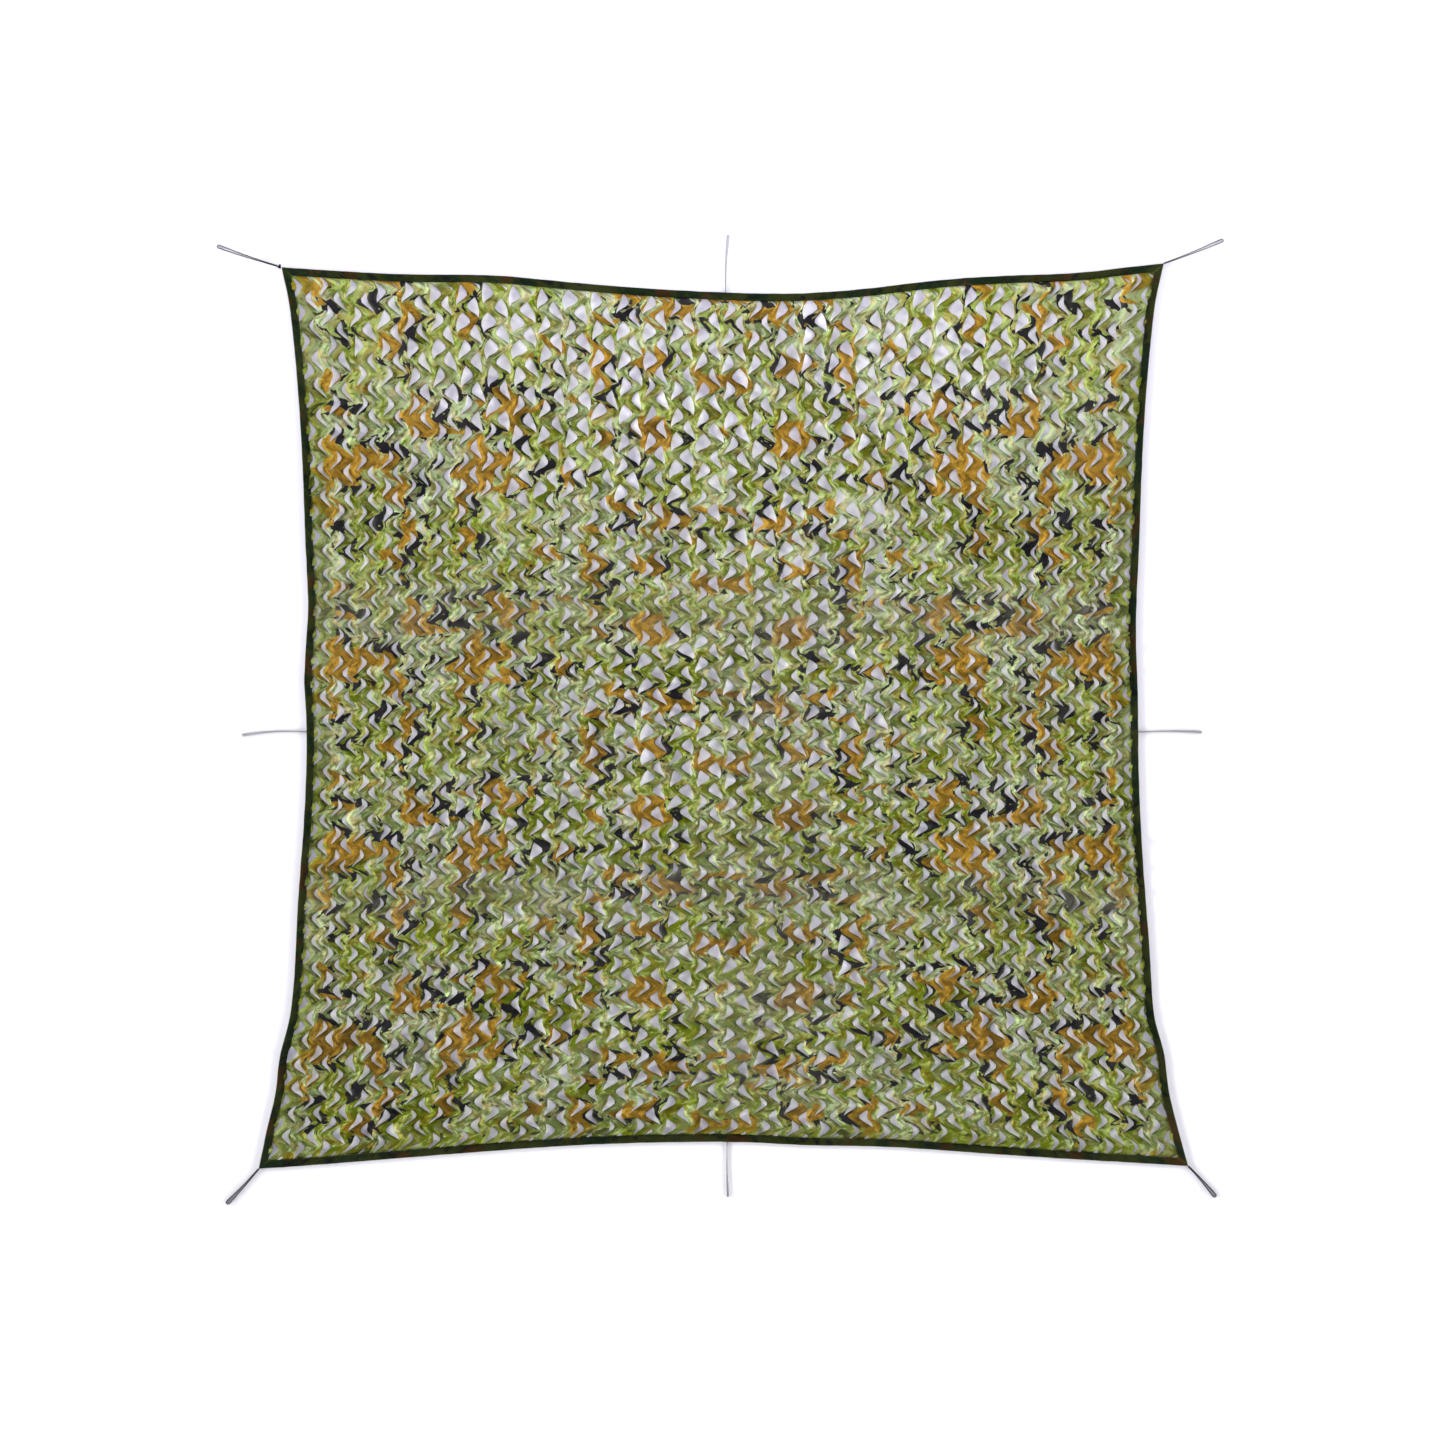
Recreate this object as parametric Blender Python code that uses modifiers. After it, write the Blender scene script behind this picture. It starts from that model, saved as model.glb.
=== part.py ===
"""Camouflage net, a square of leaf-cut cloth stretched flat by eight tie loops.

The net lies on the ground, +Z up, with the origin on the ground under its middle.
Its pieces are the cut cloth, four folded edging tapes sewn round it, a doubled cord at
each corner and at the middle of each side, and the knot of the top left corner's cord.
All sizes are in metres; tables that say so hold millimetres.
"""
import math
import random

import bmesh
import bpy
from mathutils import Vector

MM = 0.001
GAP = 0.3 * MM                    # clearance between neighbouring pieces

# ---- plan of the stretched net ---------------------------------------------------------
CORNERS = {
    "top_left": Vector((-1.467, 1.490)),
    "top_right": Vector((1.462, 1.503)),
    "bottom_right": Vector((1.543, -1.494)),
    "bottom_left": Vector((-1.543, -1.503)),
}
# The sides, anticlockwise. The ties pull each one inwards by the bow in its table:
# (share of the way along, bow in mm).
SIDES = {
    "bottom": ("bottom_left", "bottom_right", (
        (0.06, 12), (0.14, 31), (0.22, 50), (0.33, 73), (0.42, 83), (0.52, 84),
        (0.58, 74), (0.68, 66), (0.79, 42), (0.87, 25), (0.95, 10))),
    "right": ("bottom_right", "top_right", (
        (0.03, 22), (0.075, 54), (0.12, 67), (0.16, 97), (0.25, 110), (0.34, 123),
        (0.43, 129), (0.52, 125), (0.60, 125), (0.69, 107), (0.78, 90), (0.87, 66),
        (0.96, 30))),
    "top": ("top_right", "top_left", (
        (0.06, 18), (0.10, 31), (0.19, 40), (0.26, 54), (0.35, 83), (0.43, 95),
        (0.54, 84), (0.615, 69), (0.68, 52), (0.76, 30), (0.86, 25), (0.93, 14))),
    "left": ("top_left", "bottom_left", (
        (0.04, 28), (0.125, 61), (0.21, 84), (0.30, 101), (0.39, 118), (0.44, 108),
        (0.52, 123), (0.61, 121), (0.70, 108), (0.79, 101), (0.835, 88), (0.88, 58),
        (0.92, 47), (0.97, 15))),
}
STATIONS = 24                     # straight steps along each side

# ---- cloth and edging ------------------------------------------------------------------
CLOTH_THICK = 1.5 * MM
TAPE_LEAF = 1.0 * MM              # thickness of the folded tape
TAPE_WIDTH = 25.0 * MM
TAPE_END_GAP = 0.22 * MM          # each mitred end is set back by this, along its side
SLOT = CLOTH_THICK + 2 * GAP      # room for the cloth inside the fold
CLOTH_LIFT = TAPE_LEAF + GAP      # height of the cloth's margin inside the fold
HEM_FLAT = 45.0 * MM              # further in than this the cloth lies on the ground
HEM_RAISED = TAPE_WIDTH + 1.0 * MM

# ---- leaf cuts -------------------------------------------------------------------------
# The cuts stand in columns 45 mm apart, at a pitch of 85 mm along each, and two columns
# make one repeat. The widest cut of each two by two repeats is opened here, at twice the
# pitch and twice the size, and every second column is mirrored and half a step on.
GAP_COLUMNS = 16
GAP_ROWS = 17
GAP_WIDTH = 92.0 * MM             # from the two tips to the elbow
GAP_LENGTH = 142.0 * MM           # from tip to tip
FIELD_INSET_ACROSS = 0.012        # share of the width outside the field of gaps, each side
FIELD_INSET_ALONG = 0.030         # the same, of the height
SIDE_CROWDING = 0.0127            # how much closer the columns stand at the sides
GAP_JITTER = 0.08                 # unevenness, as a share of the gap's own size
# Outer edge of a gap, the side that bulges: (across, along) as shares of width and length.
GAP_OUTER = ((-0.12, 0.50), (0.32, 0.24), (0.50, 0.06), (0.22, -0.20), (-0.50, -0.50))
# Inner edge, from the lower tip back to the upper one: a narrow slit, and a wide fin.
GAP_INNER_SLIT = ((-0.06, -0.22), (0.16, 0.04), (0.02, 0.26))
GAP_INNER_WIDE = ((-0.46, -0.24), (-0.44, 0.06), (-0.30, 0.32))

# ---- ties ------------------------------------------------------------------------------
BOTTOM_CORD = 3.0 * MM
TOP_CORD = 2.5 * MM
SIDE_CORD = 2.0 * MM
BEND_DIAMETERS = 2.0              # radius of the loop's far end, in cord diameters
# node: (side, share along it where the cord leaves, cord, its finish, far end of the loop,
#        sideways bow of the loop in mm)
TIES = {
    "tie_bottom_left": ("bottom", 0.0, BOTTOM_CORD, "dark_cord", (-1.650, -1.620), 1.5),
    "tie_bottom_middle": ("bottom", 0.504, SIDE_CORD, "side_cord", (0.015, -1.597), -2.0),
    "tie_bottom_right": ("right", 0.0, BOTTOM_CORD, "dark_cord", (1.635, -1.597), 1.5),
    "tie_right_middle": ("right", 0.482, SIDE_CORD, "side_cord", (1.589, -0.053), 3.0),
    "tie_top_right": ("top", 0.0, TOP_CORD, "olive_cord", (1.660, 1.581), -2.0),
    "tie_top_middle": ("top", 0.497, SIDE_CORD, "side_cord", (0.015, 1.597), 3.0),
    "tie_top_left": ("left", 0.0, TOP_CORD, "olive_cord", (-1.682, 1.561), 2.0),
    "tie_left_middle": ("left", 0.514, SIDE_CORD, "side_cord", (-1.599, -0.063), -6.0),
}
# One strand of a loop: (share of the way to the bend, spread from touching to full width).
STRAND = ((0.00, 0.00), (0.20, 0.06), (0.42, 0.24), (0.64, 0.53), (0.84, 0.86), (1.00, 1.00))
BEND_ANGLES = (30, 60, 90, 120, 150)     # points round the far end, in degrees
POINTS_PER_SPAN = 2               # tube points for each step of a route
TUBE_RESOLUTION = 2

# ---- knot ------------------------------------------------------------------------------
KNOT_TIE = "tie_top_left"
KNOT_LENGTH = 13.0 * MM           # along the tie
KNOT_WIDTH = 17.0 * MM
KNOT_HEIGHT = 9.0 * MM
KNOT_FLAT = 1.0 * MM              # how much of the round form its flat underside takes off

# ---- materials: colour, roughness ------------------------------------------------------
FINISHES = {
    "net_cloth": ((0.25, 0.27, 0.09, 1.0), 0.85),
    "edging_tape": ((0.04, 0.045, 0.012, 1.0), 0.80),
    "dark_cord": ((0.03, 0.03, 0.025, 1.0), 0.75),
    "olive_cord": ((0.26, 0.26, 0.20, 1.0), 0.75),
    "side_cord": ((0.25, 0.25, 0.22, 1.0), 0.75),
}


# ---- scene helpers ---------------------------------------------------------------------
def clear_scene():
    for old in list(bpy.data.objects):
        bpy.data.objects.remove(old, do_unlink=True)


def new_collection(name):
    collection = bpy.data.collections.new(name)
    bpy.context.scene.collection.children.link(collection)
    return collection


def make_materials():
    materials = {}
    for name, (colour, roughness) in FINISHES.items():
        material = bpy.data.materials.new(name)
        material.use_nodes = True
        shader = material.node_tree.nodes["Principled BSDF"]
        shader.inputs["Base Color"].default_value = colour
        shader.inputs["Roughness"].default_value = roughness
        shader.inputs["Metallic"].default_value = 0.0
        materials[name] = material
    return materials


def add_object(name, data, material, collection):
    data.materials.clear()
    data.materials.append(material)
    piece = bpy.data.objects.new(name, data)
    collection.objects.link(piece)
    return piece


# ---- outline ---------------------------------------------------------------------------
def smooth_between(table, position):
    """Value at a position on the smooth curve through a table's (position, value) rows."""
    last = len(table) - 2
    row = 0
    while row < last and position > table[row + 1][0]:
        row += 1

    def slope(index):
        before = table[max(index - 1, 0)]
        after = table[min(index + 1, len(table) - 1)]
        return (after[1] - before[1]) / (after[0] - before[0])

    x0, y0 = table[row]
    x1, y1 = table[row + 1]
    width = x1 - x0
    t = (position - x0) / width
    return ((2 * t ** 3 - 3 * t ** 2 + 1) * y0 + (t ** 3 - 2 * t ** 2 + t) * width * slope(row)
            + (3 * t ** 2 - 2 * t ** 3) * y1 + (t ** 3 - t ** 2) * width * slope(row + 1))


def outline_point(side, share):
    """Point of the net's outer edge at a share of the way along a side."""
    start_name, end_name, bows = SIDES[side]
    start = CORNERS[start_name]
    end = CORNERS[end_name]
    chord = end - start
    inward = Vector((-chord.y, chord.x)).normalized()
    bow = smooth_between(((0.0, 0.0),) + bows + ((1.0, 0.0),), share) * MM
    return start + chord * share + inward * bow


def outline_direction(side, share):
    step = 0.5 / STATIONS
    ahead = outline_point(side, min(share + step, 1.0))
    behind = outline_point(side, max(share - step, 0.0))
    return (ahead - behind).normalized()


def corner_run(side, at_end):
    """How far an inset of 1 moves the corner point along the side: cot of half its angle."""
    order = list(SIDES)
    index = order.index(side)
    if at_end:
        into = outline_direction(side, 1.0)
        out = outline_direction(order[(index + 1) % len(order)], 0.0)
    else:
        into = outline_direction(order[index - 1], 1.0)
        out = outline_direction(side, 0.0)
    inner_angle = math.pi - into.angle(out)
    return 1.0 / math.tan(inner_angle / 2)


def inset_point(side, share, inset):
    """Outline point moved inwards, with the corners mitred."""
    along = outline_direction(side, share)
    inward = Vector((-along.y, along.x))
    slide = corner_run(side, False) * (1 - share) - corner_run(side, True) * share
    return outline_point(side, share) + inward * inset + along * inset * slide


def inset_loop(inset):
    """Closed loop of points at an inset, anticlockwise, without repeats at the corners."""
    points = []
    for side in SIDES:
        points += [inset_point(side, step / STATIONS, inset) for step in range(STATIONS)]
    return points


def outer_edge(side, share):
    """Point on the straight steps of the edging's outer face."""
    step = min(int(share * STATIONS), STATIONS - 1)
    start = outline_point(side, step / STATIONS)
    end = outline_point(side, (step + 1) / STATIONS)
    return start.lerp(end, share * STATIONS - step)


def cloth_point(across, along):
    """Plan point at shares of the width and height, between the four bowed sides."""
    bottom = outline_point("bottom", across)
    top = outline_point("top", 1 - across)
    right = outline_point("right", along)
    left = outline_point("left", 1 - along)
    ruled = (bottom * (1 - along) + top * along + left * (1 - across) + right * across)
    low = CORNERS["bottom_left"] * (1 - across) + CORNERS["bottom_right"] * across
    high = CORNERS["top_left"] * (1 - across) + CORNERS["top_right"] * across
    return ruled - (low * (1 - along) + high * along)


# ---- cloth -----------------------------------------------------------------------------
def openness(across, along):
    """How far the cuts are pulled open, 0 a slit and 1 a wide fin."""
    top_band = smooth_between(((0.0, 0.0), (0.70, 0.0), (0.82, 0.55), (0.90, 1.0), (1.0, 1.0)),
                              along)
    middle = 0.35 * math.exp(-((across - 0.38) ** 2 + (along - 0.50) ** 2) / 0.012)
    side_fade = 0.65 + 0.35 * math.sin(math.pi * across)
    low_corners = 0.35 * max(0.0, 1 - along / 0.18) * abs(2 * across - 1) ** 2
    return min(1.0, 0.12 + top_band * side_fade * 0.88 + middle + low_corners)


def gap_outline(column, row, chance):
    """Points of one leaf-shaped gap, anticlockwise in the plan."""
    mirrored = column % 2 == 1
    stagger = 0.25 if mirrored else -0.25
    even_across = (FIELD_INSET_ACROSS
                   + (1 - 2 * FIELD_INSET_ACROSS) * (column + 0.5) / GAP_COLUMNS)
    across = even_across - SIDE_CROWDING * math.sin(2 * math.pi * even_across)
    along = FIELD_INSET_ALONG + (1 - 2 * FIELD_INSET_ALONG) * (row + 0.5 + stagger) / GAP_ROWS
    pulled = openness(across, along) + chance.uniform(-GAP_JITTER, GAP_JITTER)
    pulled = min(max(pulled, 0.0), 1.0)
    size = 1 + chance.uniform(-GAP_JITTER, GAP_JITTER)
    turn = chance.uniform(-GAP_JITTER, GAP_JITTER)
    inner = [(s[0] + (w[0] - s[0]) * pulled, s[1] + (w[1] - s[1]) * pulled)
             for s, w in zip(GAP_INNER_SLIT, GAP_INNER_WIDE)]
    wide = (CORNERS["bottom_right"] - CORNERS["bottom_left"]).length
    high = (CORNERS["top_left"] - CORNERS["bottom_left"]).length
    points = []
    for x, y in list(GAP_OUTER) + inner:
        x_turned = x - turn * y
        if mirrored:
            x_turned = -x_turned
        points.append(cloth_point(across + x_turned * size * GAP_WIDTH / wide,
                                  along + y * size * GAP_LENGTH / high))
    return points


def flat_fill(outline, holes):
    """Mesh of a flat outline with holes, filled from a 2D curve."""
    curve = bpy.data.curves.new("cloth_plan", "CURVE")
    curve.dimensions = "2D"
    curve.fill_mode = "BOTH"
    for loop in [outline] + holes:
        spline = curve.splines.new("POLY")
        spline.points.add(len(loop) - 1)
        for point, place in zip(spline.points, loop):
            point.co = (place.x, place.y, 0.0, 1.0)
        spline.use_cyclic_u = True
    guide = bpy.data.objects.new("cloth_plan", curve)
    bpy.context.scene.collection.objects.link(guide)
    bpy.context.view_layer.update()
    evaluated = guide.evaluated_get(bpy.context.evaluated_depsgraph_get())
    mesh = bpy.data.meshes.new_from_object(evaluated)
    bpy.data.objects.remove(guide, do_unlink=True)
    bpy.data.curves.remove(curve)
    return mesh


def widen_loop(mesh_edit, edges, places, next_places, height):
    """Extrude the outer loop of edges and move it on to the next loop's places."""
    index_of = {(round(p.x, 5), round(p.y, 5)): i for i, p in enumerate(places)}
    grown = bmesh.ops.extrude_edge_only(mesh_edit, edges=edges)["geom"]
    for vert in grown:
        if isinstance(vert, bmesh.types.BMVert):
            place = next_places[index_of[(round(vert.co.x, 5), round(vert.co.y, 5))]]
            vert.co = (place.x, place.y, height)
    return [edge for edge in grown if isinstance(edge, bmesh.types.BMEdge)]


def build_cloth(material, collection):
    chance = random.Random(7)
    gaps = [gap_outline(column, row, chance)
            for column in range(GAP_COLUMNS) for row in range(GAP_ROWS)]
    flat = inset_loop(HEM_FLAT)
    raised = inset_loop(HEM_RAISED)
    rim = inset_loop(TAPE_LEAF + GAP)
    mesh = flat_fill(flat, gaps)
    edit = bmesh.new()
    edit.from_mesh(mesh)
    bmesh.ops.remove_doubles(edit, verts=edit.verts, dist=0.00001)
    on_loop = {(round(p.x, 5), round(p.y, 5)) for p in flat}
    edges = [edge for edge in edit.edges if edge.is_boundary and all(
        (round(v.co.x, 5), round(v.co.y, 5)) in on_loop for v in edge.verts)]
    edges = widen_loop(edit, edges, flat, raised, CLOTH_LIFT)
    widen_loop(edit, edges, raised, rim, CLOTH_LIFT)
    bmesh.ops.recalc_face_normals(edit, faces=edit.faces)
    if sum(face.normal.z for face in edit.faces) < 0:
        bmesh.ops.reverse_faces(edit, faces=edit.faces)
    edit.to_mesh(mesh)
    edit.free()
    cloth = add_object("net_cloth", mesh, material, collection)
    thicken = cloth.modifiers.new("cloth_thickness", "SOLIDIFY")
    thicken.thickness = CLOTH_THICK
    thicken.offset = 1.0


# ---- edging ----------------------------------------------------------------------------
def tape_section(side, share):
    """The folded tape's section at one station: eight points, fold outwards."""
    wall_top = 2 * TAPE_LEAF + SLOT
    corners = ((0.0, 0.0), (TAPE_WIDTH, 0.0), (TAPE_WIDTH, TAPE_LEAF),
               (TAPE_LEAF, TAPE_LEAF), (TAPE_LEAF, TAPE_LEAF + SLOT),
               (TAPE_WIDTH, TAPE_LEAF + SLOT), (TAPE_WIDTH, wall_top), (0.0, wall_top))
    set_back = outline_direction(side, share) * TAPE_END_GAP
    shift = {0.0: set_back, 1.0: -set_back}.get(share, Vector((0.0, 0.0)))
    section = []
    for inset, height in corners:
        place = inset_point(side, share, inset) + shift
        section.append(Vector((place.x, place.y, height)))
    return section


def build_tape(side, material, collection):
    sections = [tape_section(side, step / STATIONS) for step in range(STATIONS + 1)]
    edit = bmesh.new()
    face = edit.faces.new([edit.verts.new(point) for point in sections[0]])
    for section in sections[1:]:
        face = bmesh.ops.extrude_discrete_faces(edit, faces=[face])["faces"][0]
        for loop, point in zip(face.loops, section):
            loop.vert.co = point
    bmesh.ops.holes_fill(edit, edges=[edge for edge in edit.edges if edge.is_boundary])
    bmesh.ops.recalc_face_normals(edit, faces=edit.faces)
    mesh = bpy.data.meshes.new("edging_" + side)
    edit.to_mesh(mesh)
    edit.free()
    add_object("edging_" + side, mesh, material, collection)


# ---- ties ------------------------------------------------------------------------------
def tie_start(node):
    """Where a tie's strands begin in the plan, and the direction in which they leave."""
    side, share, _, _, far_end, _ = TIES[node]
    seat = outer_edge(side, share)
    away = (Vector(far_end) - seat).normalized()
    clear = GAP
    if node == KNOT_TIE:
        clear += KNOT_LENGTH + GAP
    return seat + away * clear, away


def tie_route(node):
    """Points along one loop of cord: out along a strand, round the bend and back."""
    _, _, cord, _, far_end, bow = TIES[node]
    start, away = tie_start(node)
    sideways = Vector((-away.y, away.x))
    bend = BEND_DIAMETERS * cord
    touching = (cord + GAP) / 2
    straight = (Vector(far_end) - start).length - cord / 2 - bend

    def place(along, aside):
        drift = bow * MM * math.sin(math.pi * min(along / straight, 1.0))
        spot = start + away * along + sideways * (aside + drift)
        return Vector((spot.x, spot.y, cord / 2))

    out = [place(straight * run, touching + (bend - touching) * spread)
           for run, spread in STRAND]
    turn = [place(straight + bend * math.sin(math.radians(angle)),
                  bend * math.cos(math.radians(angle))) for angle in BEND_ANGLES]
    back = [place(straight * run, -touching - (bend - touching) * spread)
            for run, spread in reversed(STRAND)]
    return out + turn + back


def smooth_route(points, steps):
    """Points read from the smooth curve through a route's own points."""
    path = []
    for index in range(len(points) - 1):
        p0 = points[max(index - 1, 0)]
        p1 = points[index]
        p2 = points[index + 1]
        p3 = points[min(index + 2, len(points) - 1)]
        for step in range(steps):
            t = step / steps
            path.append(0.5 * (2 * p1 + (p2 - p0) * t + (2 * p0 - 5 * p1 + 4 * p2 - p3) * t ** 2
                               + (3 * p1 - p0 - 3 * p2 + p3) * t ** 3))
    return path + [points[-1]]


def build_tie(node, materials, collection):
    cord = TIES[node][2]
    finish = TIES[node][3]
    path = smooth_route(tie_route(node), POINTS_PER_SPAN)
    curve = bpy.data.curves.new(node, "CURVE")
    curve.dimensions = "3D"
    curve.bevel_depth = cord / 2
    curve.bevel_resolution = TUBE_RESOLUTION
    curve.use_fill_caps = True
    spline = curve.splines.new("POLY")
    spline.points.add(len(path) - 1)
    for point, place in zip(spline.points, path):
        point.co = (place.x, place.y, place.z, 1.0)
    add_object(node, curve, materials[finish], collection)


def build_knot(material, collection):
    """Round knot against the corner, flat underneath."""
    side, share, _, _, _, _ = TIES[KNOT_TIE]
    away = tie_start(KNOT_TIE)[1]
    middle = outer_edge(side, share) + away * (GAP + KNOT_LENGTH / 2)
    edit = bmesh.new()
    bmesh.ops.create_uvsphere(edit, u_segments=12, v_segments=8, radius=0.5)
    size = Vector((KNOT_LENGTH, KNOT_WIDTH, KNOT_HEIGHT + KNOT_FLAT))
    bmesh.ops.scale(edit, verts=edit.verts, vec=size)
    bmesh.ops.translate(edit, verts=edit.verts, vec=(0, 0, size.z / 2 - KNOT_FLAT))
    cut = bmesh.ops.bisect_plane(
        edit, geom=edit.verts[:] + edit.edges[:] + edit.faces[:], dist=0.00001,
        plane_co=(0, 0, 0), plane_no=(0, 0, 1), clear_inner=True)
    rim = [item for item in cut["geom_cut"] if isinstance(item, bmesh.types.BMEdge)]
    bmesh.ops.holes_fill(edit, edges=rim)
    bmesh.ops.recalc_face_normals(edit, faces=edit.faces)
    mesh = bpy.data.meshes.new("tie_knot_top_left")
    edit.to_mesh(mesh)
    edit.free()
    mesh.shade_smooth()
    mesh.set_sharp_from_angle(angle=math.radians(40))
    knot = add_object("tie_knot_top_left", mesh, material, collection)
    knot.location = (middle.x, middle.y, 0.0)
    knot.rotation_euler = (0.0, 0.0, math.atan2(away.y, away.x))


def main():
    clear_scene()
    collection = new_collection("camouflage_net")
    materials = make_materials()
    build_cloth(materials["net_cloth"], collection)
    for side in SIDES:
        build_tape(side, materials["edging_tape"], collection)
    for node in TIES:
        build_tie(node, materials, collection)
    build_knot(materials["dark_cord"], collection)


main()
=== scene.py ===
import math
import random

import bmesh
import bpy
from mathutils import Matrix, Vector, noise


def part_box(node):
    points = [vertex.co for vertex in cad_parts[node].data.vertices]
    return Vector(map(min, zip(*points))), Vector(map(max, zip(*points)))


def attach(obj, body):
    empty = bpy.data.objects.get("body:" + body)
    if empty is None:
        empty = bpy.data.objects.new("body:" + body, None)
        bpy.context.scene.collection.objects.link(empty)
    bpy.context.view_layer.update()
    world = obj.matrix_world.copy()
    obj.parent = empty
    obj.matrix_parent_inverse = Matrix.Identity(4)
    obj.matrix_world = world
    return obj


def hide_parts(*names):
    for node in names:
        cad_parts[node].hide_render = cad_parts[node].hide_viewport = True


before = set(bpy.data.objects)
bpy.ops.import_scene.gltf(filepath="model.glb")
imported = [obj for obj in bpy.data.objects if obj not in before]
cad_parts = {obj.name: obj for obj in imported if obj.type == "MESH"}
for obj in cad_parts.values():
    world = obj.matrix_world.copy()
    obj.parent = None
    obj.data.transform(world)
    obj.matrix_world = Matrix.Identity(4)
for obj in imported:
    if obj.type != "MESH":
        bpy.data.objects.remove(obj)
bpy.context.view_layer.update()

bl_info = {
    "name": "Camouflage net",
    "version": (1, 0, 0),
    "blender": (4, 5, 0),
    "location": "3D View > Sidebar > Camouflage net",
    "description": "Leaf-cut camouflage net with its folded edging, stitching and tie loops",
    "category": "Object",
}

MM = 0.001
BODY = "root"                     # the one body of the part, on which every piece rides


# ---- plan of the net, read from the edging's solids --------------------------------------
SIDE_NAMES = ("bottom", "right", "top", "left")      # anticlockwise


def edge_stations(side):
    """Outer edge of one side's edging, as points in order along it."""
    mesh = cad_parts["edging_" + side].data
    floor = {(round(v.co.x, 5), round(v.co.y, 5)) for v in mesh.vertices if v.co.z < 0.5 * MM}
    leaf = [v.co.xy for v in mesh.vertices if abs(v.co.z - MM) < 0.3 * MM]
    outer = []
    for place in floor:
        point = Vector(place)
        if all((point - other).length > 0.3 * MM for other in leaf):
            outer.append(point)
    axis = 0 if side in ("bottom", "top") else 1
    outer.sort(key=lambda point: point[axis], reverse=side in ("top", "left"))
    return outer


def read_sides():
    """Points of the four sides, with the corners shared."""
    sides = {side: edge_stations(side) for side in SIDE_NAMES}
    for index, side in enumerate(SIDE_NAMES):
        following = SIDE_NAMES[(index + 1) % 4]
        corner = (sides[side][-1] + sides[following][0]) / 2
        sides[side][-1] = corner
        sides[following][0] = corner
    return sides


SIDES = read_sides()


def curve_point(p0, p1, p2, p3, t):
    """Point between p1 and p2 on the smooth curve through four points."""
    return 0.5 * (2 * p1 + (p2 - p0) * t + (2 * p0 - 5 * p1 + 4 * p2 - p3) * t ** 2
                  + (3 * p1 - p0 - 3 * p2 + p3) * t ** 3)


def smooth_through(points, share):
    """Point at a share of the smooth curve through evenly spaced points."""
    spans = len(points) - 1
    index = min(int(share * spans), spans - 1)
    t = share * spans - index
    p1 = points[index]
    p2 = points[index + 1]
    p0 = points[index - 1] if index > 0 else p1 * 2 - p2
    p3 = points[index + 2] if index + 2 <= spans else p2 * 2 - p1
    return curve_point(p0, p1, p2, p3, t)


def side_point(side, share):
    return smooth_through(SIDES[side], share)


def side_direction(side, share):
    ahead = side_point(side, min(share + 0.01, 1.0))
    behind = side_point(side, max(share - 0.01, 0.0))
    return (ahead - behind).normalized()


def corner_run(side, at_end):
    """How far an inset of 1 moves the corner point along the side."""
    index = SIDE_NAMES.index(side)
    if at_end:
        into = side_direction(side, 1.0)
        out = side_direction(SIDE_NAMES[(index + 1) % 4], 0.0)
    else:
        into = side_direction(SIDE_NAMES[index - 1], 1.0)
        out = side_direction(side, 0.0)
    inner_angle = math.pi - into.angle(out)
    return 1.0 / math.tan(inner_angle / 2)


def inset_point(side, share, inset):
    """Edge point moved inwards, with the corners mitred."""
    along = side_direction(side, share)
    inward = Vector((-along.y, along.x))
    slide = corner_run(side, False) * (1 - share) - corner_run(side, True) * share
    return side_point(side, share) + inward * inset + along * inset * slide


def cloth_point(across, up):
    """Plan point at shares of the width and height, between the four bowed sides."""
    bottom = side_point("bottom", across)
    top = side_point("top", 1 - across)
    right = side_point("right", up)
    left = side_point("left", 1 - up)
    ruled = bottom * (1 - up) + top * up + left * (1 - across) + right * across
    low = SIDES["bottom"][0] * (1 - across) + SIDES["bottom"][-1] * across
    high = SIDES["top"][-1] * (1 - across) + SIDES["top"][0] * across
    return ruled - (low * (1 - up) + high * up)


def soft_step(low, high, value):
    t = min(max((value - low) / (high - low), 0.0), 1.0)
    return t * t * (3 - 2 * t)


# ---- leaf cuts ---------------------------------------------------------------------------
SUB_ROWS = 8                      # grid rows for each repeat along a column
CUT_ROWS = 6                      # of which a cut is this long
FIRST_CUT_ROW = 2                 # grid row of an even column's lowest tip
UNCUT_ROWS = 2                    # grid rows at the bottom and the top that stay whole
FIELD_EDGE = 0.0045               # share of the width with no cuts, each side
CROWDING = 0.0155                 # how much closer the columns stand at the sides
CROWDING_FADES = (0.70, 0.90)     # shares of the height between which that ends
SPREADING = 0.002                 # how much further apart they stand, all the way up
ROW_STRETCH = 0.165               # how much further apart the rows stand near the top
STRETCH_FROM = 0.68               # share of the height where that begins
STRETCH_FULL = 0.86               # and where it is full

# Edges of a cut at each grid row from its top tip to its bottom one, in column pitches
# from the column's line. The left edge is the leaf. Odd columns are mirrored.
SLIT_LEFT = (-0.02, 0.05, 0.17, 0.11, -0.13, -0.32, -0.42)
SLIT_RIGHT = (-0.02, 0.29, 0.48, 0.42, 0.15, -0.11, -0.42)
WIDE_LEFT = (0.06, -0.15, -0.31, -0.39, -0.43, -0.42, -0.40)
WIDE_RIGHT = (0.06, 0.31, 0.51, 0.55, 0.29, -0.18, -0.40)
LEAF_CURL = (0.0, 0.55, 1.0, 0.90, 0.70, 0.40, 0.0)   # how far the leaf's edge is lifted

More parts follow.
